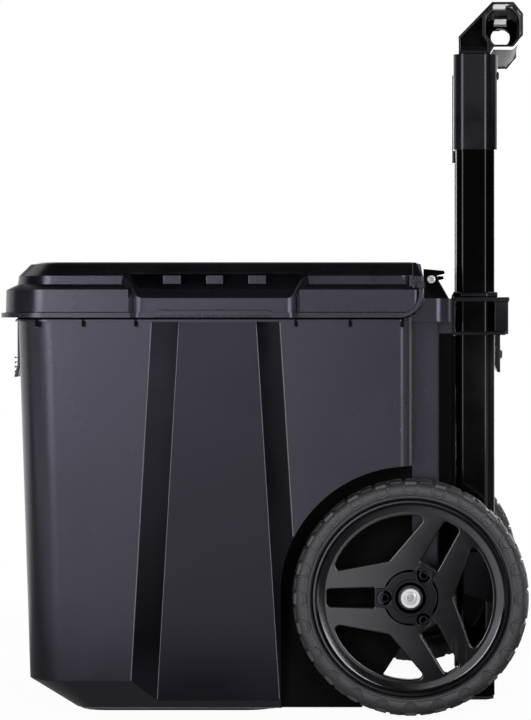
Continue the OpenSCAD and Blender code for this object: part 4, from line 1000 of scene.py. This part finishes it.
def elbowPieces():
    x, foot, top = handle["x"], handle["foot"], handle["gripZ"] + handle["halfH"] + handle["skin"]
    section, soft = gripLoop(handle["skin"]), handle["pocketRound"]
    front, knee, shoulder, neck, heel, heelUp = handle["elbow"]
    outline = [(x - front, foot), (x - front, foot + knee), (x + shoulder, top), *section[2::-1], section[7],
               (x + neck, section[7][1]), (x + heel, foot + heelUp), (x + heel, foot)]
    pocket = rounded(gripLoop(-handle["pocketIn"]), soft, 3)
    outlines = [rounded(outline, handle["elbowRound"], 4), pocket, rounded(handle["hollow"], soft, 3)]
    body = sidePlate("elbowBody", outlines, handle["inner"], handle["outer"], handle["rim"])
    web = sidePlate("elbowWeb", [rounded(handle["web"], handle["webRound"], 2)], *handle["webOut"])
    seat = sidePlate("tubeSeat", [handle["seat"]], *handle["seatOut"])
    liner = sidePlate("pocketRim", [rounded(gripLoop(-handle["rimIn"]), soft, 3), pocket], *handle["rimOut"])
    carve(body, gripBox("slotCut", *handle["slot"]))
    pad = gripBox("slotPad.left", *handle["pad"])
    pick(pad, "FACE", lambda f: f.normal.z < -0.9)
    dentPicked(0.0016, (0, 0, 0.0012))
    softEdges(pad, 0.0007, 3)
    elbow, floor = joinAll([body, liner], "handleElbow.left"), joinAll([web, seat], "elbowFloor.left")
    return [crisp(o, 30) for o in (elbow, floor, pad)]


def gripPieces():
    reach, (w, l), (low, room, high) = handle["inner"], handle["buttonHalf"], handle["buttonZ"]
    loop = lambda grow, r: rounded(gripLoop(grow), r, 6)
    sleeve = sidePlate("gripSleeve", [loop(*w) for w in handle["sleeve"]], -reach, reach, handle["sleeveEdge"])
    short = reach - handle["sleeveEdge"]
    inside = sidePlate("gripLining", [loop(*w) for w in handle["lining"]], -short, short, handle["liningEdge"], 1)
    bore = circleLoop(handle["bore"], 48, (handle["gripX"], handle["gripZ"]))
    web = sidePlate("gripWeb", [loop(*handle["core"]), bore], *handle["coreOut"])
    for part, floor in ((sleeve, low), (inside, low), (web, room)):  # room for the button
        carve(part, gripBox("buttonCut", (-w, -l, floor), (w, l, high)))
    return crisp(sleeve, 30), crisp(joinAll([inside, web], "gripShadeCore"), 30)


def buttonPiece():
    button = fromNode("release_button", "releaseButton")
    pick(button, "FACE", lambda f: f.normal.z > 0.9)
    dentPicked(0.0018, (0, 0, -0.0007))
    softEdges(button, 0.0008, 3)
    return crisp(button, 26)


def beyond(c, dx, dy):  # on the outer skin of a tube or collar
    return abs(c.x - handle["x"]) > dx or abs(abs(c.y) - handle["tubeY"]) > dy


def collarPiece():  # rounded corners and a rounded top edge
    collar = fromNode("lock_collars", "lockCollars")
    outer = lambda c: beyond(c, 0.0235, 0.015)
    pick(collar, "EDGE", lambda a, b: abs(a.z - b.z) > 0.06 and outer(a), 28)
    roundPicked(0.0042, 6)
    pick(collar, "EDGE", lambda a, b: abs(a.z - b.z) < 0.0002 and outer(a) and outer(b), 50)
    roundPicked(0.0013, 3)
    softEdges(collar, 0.0005, 2, 40)
    return crisp(collar, 26)


def tubePiece(node):  # rounded long edges, to catch the light
    tube = fromNode(node)
    pick(tube, "EDGE", lambda a, b: abs(a.z - b.z) > 0.2 and beyond(a, 0.0205, 0.013), 28)
    roundPicked(0.0022, 5)
    softEdges(tube, 0.0004, 2, 50)
    return crisp(tube, 26)


elbow, elbowShadeFloor, slotPad = elbowPieces()
for obj, node in zip(bothSides([elbow]), ("handle_elbow_left", "handle_elbow_right")):
    settle(obj, node, "trimBlack")
# flat black floor of the elbow's hollow: painted shade for the deep recess
for obj, node in zip(bothSides([elbowShadeFloor]), ("handle_elbow_left", "handle_elbow_right")):
    addOn(obj, node, "paintedShadeBlack")
addOn(slotPad, "handle_elbow_left", "padWhite")
gripSleeve, gripShadeCore = gripPieces()
settle(gripSleeve, "grip", "gripGrey")
# flat black lining and web inside the grip: painted shade for its hollow
addOn(gripShadeCore, "grip", "paintedShadeBlack")
settle(buttonPiece(), "release_button", "buttonGrey")
for node in ("outer_tube_left", "outer_tube_right"):
    settle(tubePiece(node), node, "tubeGloss")
settle(collarPiece(), "lock_collars", "trimBlack")
print("handle done")


# control panel: framed plate with dial marks, fluted knobs with pointers, a switch surround and screws
panel = dict(face=0.206875, half=0.082, mid=0.299, tall=0.052, dialY=(-0.048, 0.048), dialZ=0.319, socketZ=0.275,
    frameIn=(0.0004, 0.0032), frameRound=(0.0035, 0.0024), ring=(0.0166, 0.0152),
    switchOuter=(0.0352, 0.0608, 0.259, 0.291), switchInner=(0.0387, 0.0573, 0.2624, 0.2876), marks=11, sweep=135,
    markR=(0.0176, 0.0212), markShort=0.0014, markHalf=0.0005, numberR=0.0258, letter=0.0058,
    words=(("ON", (0.0686, 0.2815)), ("OFF", (0.0686, 0.2685))), screwY=0.0752, screwZ=0.0448, knobR=0.0134,
    flutes=22, flute=0.0005, fluteSteps=6, pointer=(-0.0009, 0.0009, 0.0018, 0.008), bezelX=-0.2672, bezelY=0.08,
    bezelZ=(0.119, 0.29), switchRound=(0.0022, 0.0008), pointerRound=0.0006, frameOut=(-0.0006, 0.0012, 0.0005),
    switchOut=(-0.0006, 0.0016, 0.0005), ringOut=(-0.0004, 0.0007, 0.0003), markOut=(-0.0001, 0.0003, 0),
    letterOut=0.0002, letterHalf=0.0001, knobOut=(0.0018, 0.0137, 0.0008), pointerOut=(0.0134, 0.0142, 0.0002))
panelTurned = {  # (radius, height) in mm from the face of the panel, and sides
    "screw": ([(0.1, 0.9), (1.3, 0.9), (1.4, 1.7), (1.7, 1.9), (2.8, 1.6),
        (3.3, 0.9), (3.4, -0.4), (0.1, -0.4)], 28),
    "knobSkirt": ([(0.1, 0.4), (13.8, 0.4), (14.1, 0.9), (14.1, 1.9), (13.5, 2.5),
        (0.1, 2.5)], 64),
    "knobLip": ([(8.8, 13.2), (9, 14), (9.5, 14.3), (10.6, 14.2), (11, 13.6),
        (11, 13.2)], 64),
    "knobStem": ([(0.1, -3), (3, -3), (3, 0.8), (0.1, 0.8)], 24),
    "socketRing": ([(4.6, 0), (4.6, 4.4), (5.2, 5), (7.6, 5), (8.4, 4.3),
        (8.6, 1.7), (9.8, 1.3), (10, 0.6), (10, 0)], 56),
    "socketPin": ([(0.1, 0), (1.2, 0), (1.2, 3.2), (0.7, 3.9), (0.1, 4)], 20),
}


def panelRound(name):
    return turned(name, *panelTurned[name])


def onPanel(obj, y=0, z=0):
    return setInPlace(obj, (panel["face"], y, z), outBack)


def panelPlate():
    plate = fromNode("control_panel", "controlPanel")
    softEdges(plate, 0.001)
    h, z, t = panel["half"], panel["mid"], panel["tall"]
    border = [block(d - h, h - d, z - t + d, z + t - d, r) for d, r in zip(panel["frameIn"], panel["frameRound"])]
    surround = [block(*edge, r) for edge, r in zip((panel["switchOuter"], panel["switchInner"]), panel["switchRound"])]
    frames = [cutPlate("panelFrame", border, *panel["frameOut"]),
              cutPlate("switchFrame", surround, *panel["switchOut"])]
    for y in panel["dialY"]:
        ring = [circleLoop(r, 64, (y, panel["dialZ"])) for r in panel["ring"]]
        frames.append(cutPlate("dialRing", ring, *panel["ringOut"]))
    return crisp(joinAll([plate] + [onPanel(f) for f in frames], "controlPanel"))


def lettering(text, at):
    takeUp()
    bpy.ops.object.text_add(location=(0, 0, 0))
    data = bpy.context.object.data
    data.body, data.size, data.extrude = text, panel["letter"], panel["letterHalf"]
    data.align_x, data.align_y, data.resolution_u = "CENTER", "CENTER", 4
    bpy.ops.object.convert(target="MESH")
    label = bpy.context.object
    pickAll(label)
    movePicked(*at, panel["letterOut"])
    return label


def panelMarks():  # ticks and numbers round each dial, and the switch's words
    bars, labels = [], []
    inner, outer = panel["markR"]
    for y in panel["dialY"]:
        at = Vector((y, panel["dialZ"]))
        for n in range(panel["marks"]):
            a = math.radians(panel["sweep"] * (2 * n / (panel["marks"] - 1) - 1))
            side, way = Vector((math.cos(a), -math.sin(a))) * panel["markHalf"], Vector((math.sin(a), math.cos(a)))
            start = inner + (panel["markShort"] if n % 5 else 0.0)
            bars.append([tuple(at + way * r + side * s) for r, s in ((start, -1), (start, 1), (outer, 1), (outer, -1))])
            if n % 5 == 0:
                labels.append((str(n), at + way * panel["numberR"]))
    parts = [lettering(*label) for label in (*labels, *panel["words"])]
    parts.insert(0, cutPlate("dialBars", bars, *panel["markOut"]))
    return crisp(joinAll([onPanel(p) for p in parts], "panelMarks"))


def screwSet(name, x, turn, ys, zs):
    return crisp(joinAll([setInPlace(panelRound("screw"), (x, y, z), turn) for y in ys for z in zs], name))


def knobPiece(name, y):
    count = panel["flutes"] * panel["fluteSteps"]
    wave = lambda n: panel["knobR"] + panel["flute"] * math.cos(2 * math.pi * n / panel["fluteSteps"])
    outline = [polar(wave(n), 360 * n / count) for n in range(count)]
    parts = [cutPlate(name, [outline], *panel["knobOut"])]
    parts += [panelRound(p) for p in ("knobSkirt", "knobLip", "knobStem")]
    return crisp(onPanel(joinAll(parts, name), y, panel["dialZ"]))


def rockerPiece():
    rocker = fromNode("power_rocker", "powerRocker")
    pick(rocker, "FACE", lambda f: f.normal.x > 0.85 and f.area > 0.00008)
    dentPicked(0.0016, (-0.0005, 0, 0), True)
    softEdges(rocker, 0.0005)
    return crisp(rocker)


settle(panelPlate(), "control_panel", "trimBlack")
addOn(panelMarks(), "control_panel", "padWhite")
screwZ = (panel["mid"] - panel["screwZ"], panel["mid"] + panel["screwZ"])
panelScrews = screwSet("panelScrews", panel["face"], outBack, (-panel["screwY"], panel["screwY"]), screwZ)
addOn(panelScrews, "control_panel", "darkSteel")
for node, y in zip(("speed_knob", "feed_knob"), panel["dialY"]):
    settle(knobPiece(node + ".piece", y), node, "trimBlack")
    pointer = cutPlate(node + ".pointer", [block(*panel["pointer"], panel["pointerRound"])], *panel["pointerOut"])
    addOn(crisp(onPanel(pointer, y, panel["dialZ"])), node, "padWhite")
socket = joinAll([panelRound("socketRing"), panelRound("socketPin")], "chargeSocket")
settle(crisp(onPanel(socket, panel["dialY"][0], panel["socketZ"])), "charge_socket", "brightSteel")
bezelScrews = screwSet("bezelScrews", panel["bezelX"], outFront, (-panel["bezelY"], panel["bezelY"]), panel["bezelZ"])
addOn(bezelScrews, "ball_port_bezel", "darkSteel")
settle(rockerPiece(), "power_rocker", "rockerRed")
print("panel done")


# latches: thumb ribs on the lever
latch = dict(ribX=(-0.2797, -0.2784), ribHalf=0.021, ribZ=(0.3668, 0.369), ribs=4, pitch=0.0052, ribEdge=0.0006,
    leverY=(-0.13, 0.13), leverEdge=0.0016)


def latchRib(y, n):
    (x0, x1), half, (z0, z1), up = latch["ribX"], latch["ribHalf"], latch["ribZ"], latch["pitch"] * n
    rib = newBox("latchRib", (x0, y - half, z0), (x1, y + half, z1))
    softEdges(rib, latch["ribEdge"], 3)
    return setInPlace(rib, (0, 0, up), (0, 0, 0))


for node, y in zip(("latch_left", "latch_right"), latch["leverY"]):
    lever = fromNode(node)
    softEdges(lever, latch["leverEdge"], 3)
    settle(crisp(joinAll([lever] + [latchRib(y, n) for n in range(latch["ribs"])], node + ".piece")), node, "trimBlack")
print("latches done")


# plain moulded and turned parts: CAD shape with its edges rounded by this width
plainParts = {
    "rubberBlack": dict(rubber_feet=0.0012, lid_seal=0.0008, tube_feet=0.001, throw_tread_left=0.0015,
        throw_tread_right=0.0015),
    "trimBlack": dict(ball_port_bezel=0.0016, handle_bracket=0.0011, tube_glides=0.0006, axle_bushes=0.0008),
    "tubeGloss": dict(hinge_ears=0.001, lid_hinge_leaves=0.001),
    "brightSteel": dict(hinge_bolts=0.0007, latch_pins=0.0004, axle=0.0008, board_standoffs=0.0004),
    "caseBlack": dict(latch_catches=0.001),
    "darkSteel": dict(bracket_bolts=0.0008, collar_rivets=0.0006),
    "satinAlloy": dict(inner_tubes=0.0006, launcher_plate=0.0006),
    "insideBlack": dict(hopper_tray=0.0008, drop_chute=0.0008, feed_carousel=0.0015, launcher_turntable=0.001,
        ball_guide=0.0008, battery_pack=0.002),
    "motorZinc": dict(feed_motor=0.0012, oscillation_motor=0.0012, tilt_motor=0.001, throw_motors=0.0015),
    "wheelBlack": dict(throw_wheel_left=0.0012, throw_wheel_right=0.0012),
    "boardGreen": dict(control_board=0.0004),
}


def plainPiece(node, width, segments=2, angle=32):
    piece = fromNode(node)
    softEdges(piece, width, segments)
    return crisp(piece, angle)


for node, width in (("bracket_sleeves", 0.0018), ("lower_tube_clamps", 0.0022)):  # rounder edges that show
    settle(plainPiece(node, width, 4, 26), node, "trimBlack")
for finish, parts in plainParts.items():
    for node, width in parts.items():
        settle(plainPiece(node, width), node, finish)
print("plain parts done")


# pale floor, soft lights and a white background
studio = dict(floorTone=0.82, glow=0.9, white=1.06, surround=0.1, nearWall=0.02, nearFloor=0.2, sheet=1.15,
    sheetY=(-0.8, -0.35), farSheet=0.9, farY=(0.1, 0.6), fadeY=(0.25, 1.5), gapX=0.34, gapHalf=(0.14, 0.3),
    gapTone=0.03, darkFrom=(-2.55, -2.25), darkTo=(-4.1, -3.8), darkHalf=(0.26, 0.3), darkest=0.97,
    wallY=(0.05, 0.45), wallZ=(0.12, 0.36), overhead=0.08)
takeUp()
bpy.ops.mesh.primitive_plane_add(size=60, location=(0, 0, -0.0005))
floor = bpy.context.object
floor.name = "paleFloor"
floorMat = bpy.data.materials.new("paleFloor")
floorMat.use_nodes = True
tree = floorMat.node_tree
floorShader = tree.nodes["Principled BSDF"]
for label, value in (("Base Color", (*(studio["floorTone"],) * 3, 1)), ("Roughness", 0.9), ("Specular IOR Level", 0.0)):
    floorShader.inputs[label].default_value = value


def rays(tree):  # what the camera sees, and what is mirrored
    path = put(tree, "ShaderNodeLightPath").outputs
    return sums(tree, "MAXIMUM", path["Is Camera Ray"], path["Is Transmission Ray"]), path["Is Glossy Ray"]


seen, gloss = rays(tree)
spot = split(tree, put(tree, "ShaderNodeNewGeometry").outputs["Position"])
nearSheet = remap(tree, spot["Y"], *studio["sheetY"], studio["sheet"], studio["nearFloor"])  # white sheet in front
offGap = sums(tree, "ABSOLUTE", sums(tree, "SUBTRACT", spot["X"], studio["gapX"]), 0.0)  # with a dark gap for the tubes
nearSheet = times(tree, nearSheet, remap(tree, offGap, *studio["gapHalf"], studio["gapTone"], 1.0))
farDark = times(tree, remap(tree, spot["Y"], *studio["darkFrom"], studio["darkest"], 0.0),
    remap(tree, spot["Y"], *studio["darkTo"], 0.0, 1.0))  # a dark patch far in front, seen in the wheel's top
farDark = times(tree, farDark, remap(tree, offGap, *studio["darkHalf"], 1.0, 0.0))
nearSheet = times(tree, nearSheet, sums(tree, "SUBTRACT", 1.0, farDark))
farSheet = remap(tree, spot["Y"], *studio["farY"], 0.0, studio["farSheet"])  # and one behind
mirrored = times(tree, gloss, sums(tree, "ADD", nearSheet, farSheet))
away = remap(tree, spot["Y"], *studio["fadeY"])  # floor runs into the background without an edge
white = times(tree, seen, sums(tree, "SUBTRACT", studio["white"], times(tree, away, studio["white"] - 1)))
light = put(tree, "ShaderNodeEmission", {"Color": (1, 1, 1, 1), "Strength": sums(tree, "MAXIMUM", mirrored, white)})
share = times(tree, sums(tree, "MAXIMUM", seen, gloss), remap(tree, away, 0.0, 1.0, studio["glow"], 1.0))
blend = put(tree, "ShaderNodeMixShader", {0: share, 1: floorShader.outputs[0], 2: light.outputs[0]})
wire(tree, blend.outputs[0], tree.nodes["Material Output"].inputs["Surface"])
floor.data.materials.append(floorMat)

world = bpy.data.worlds.new("studio")
scene.world = world
world.use_nodes = True
tree = world.node_tree
seen, gloss = rays(tree)
wayOut = split(tree, put(tree, "ShaderNodeTexCoord").outputs["Generated"])
plain = times(tree, sums(tree, "SUBTRACT", 1.0, gloss), studio["surround"])
backdrop = times(tree, remap(tree, wayOut["Y"], *studio["wallY"], studio["nearWall"], 1.0),  # stands behind
                 remap(tree, wayOut["Z"], *studio["wallZ"], 1.0, studio["overhead"]))  # and ends overhead
back = tree.nodes["Background"].inputs
wire(tree, sums(tree, "MAXIMUM", seen, sums(tree, "ADD", plain, times(tree, gloss, backdrop))), back["Strength"])
back["Color"].default_value = (1, 1, 1, 1)

lamps = {  # place, aim, size and power
    "boxLeft": ((-1.3, -3.0, 0.92), (0, -0.2, 0.4), (0.9, 1.6), 30),
    "boxRight": ((1.26, -3.0, 0.92), (0, -0.2, 0.4), (1.0, 1.6), 31),
    "fillWide": ((-0.47, -3.35, 0.62), (-0.47, 0, 0.6), (1.00, 1.25), 4.2),
    "topFront": ((-2.2, 0.9, 2.0), (0, 0, 0.4), (2.4, 2.4), 15),
    "topRear": ((2.2, 0.9, 2.0), (0, 0, 0.4), (2.4, 2.4), 17),
    "backSoft": ((0.3, 3.0, 0.6), (0, 0, 0.4), (2.4, 1.0), 22),
}
for name, (place, aim, size, power) in lamps.items():
    data = bpy.data.lights.new(name, "AREA")
    data.shape = "RECTANGLE"
    data.size, data.size_y = size
    data.energy = power
    lamp = bpy.data.objects.new(name, data)
    lamp.location = place
    lamp.rotation_euler = (Vector(aim) - Vector(place)).to_track_quat("-Z", "Y").to_euler()
    scene.collection.objects.link(lamp)
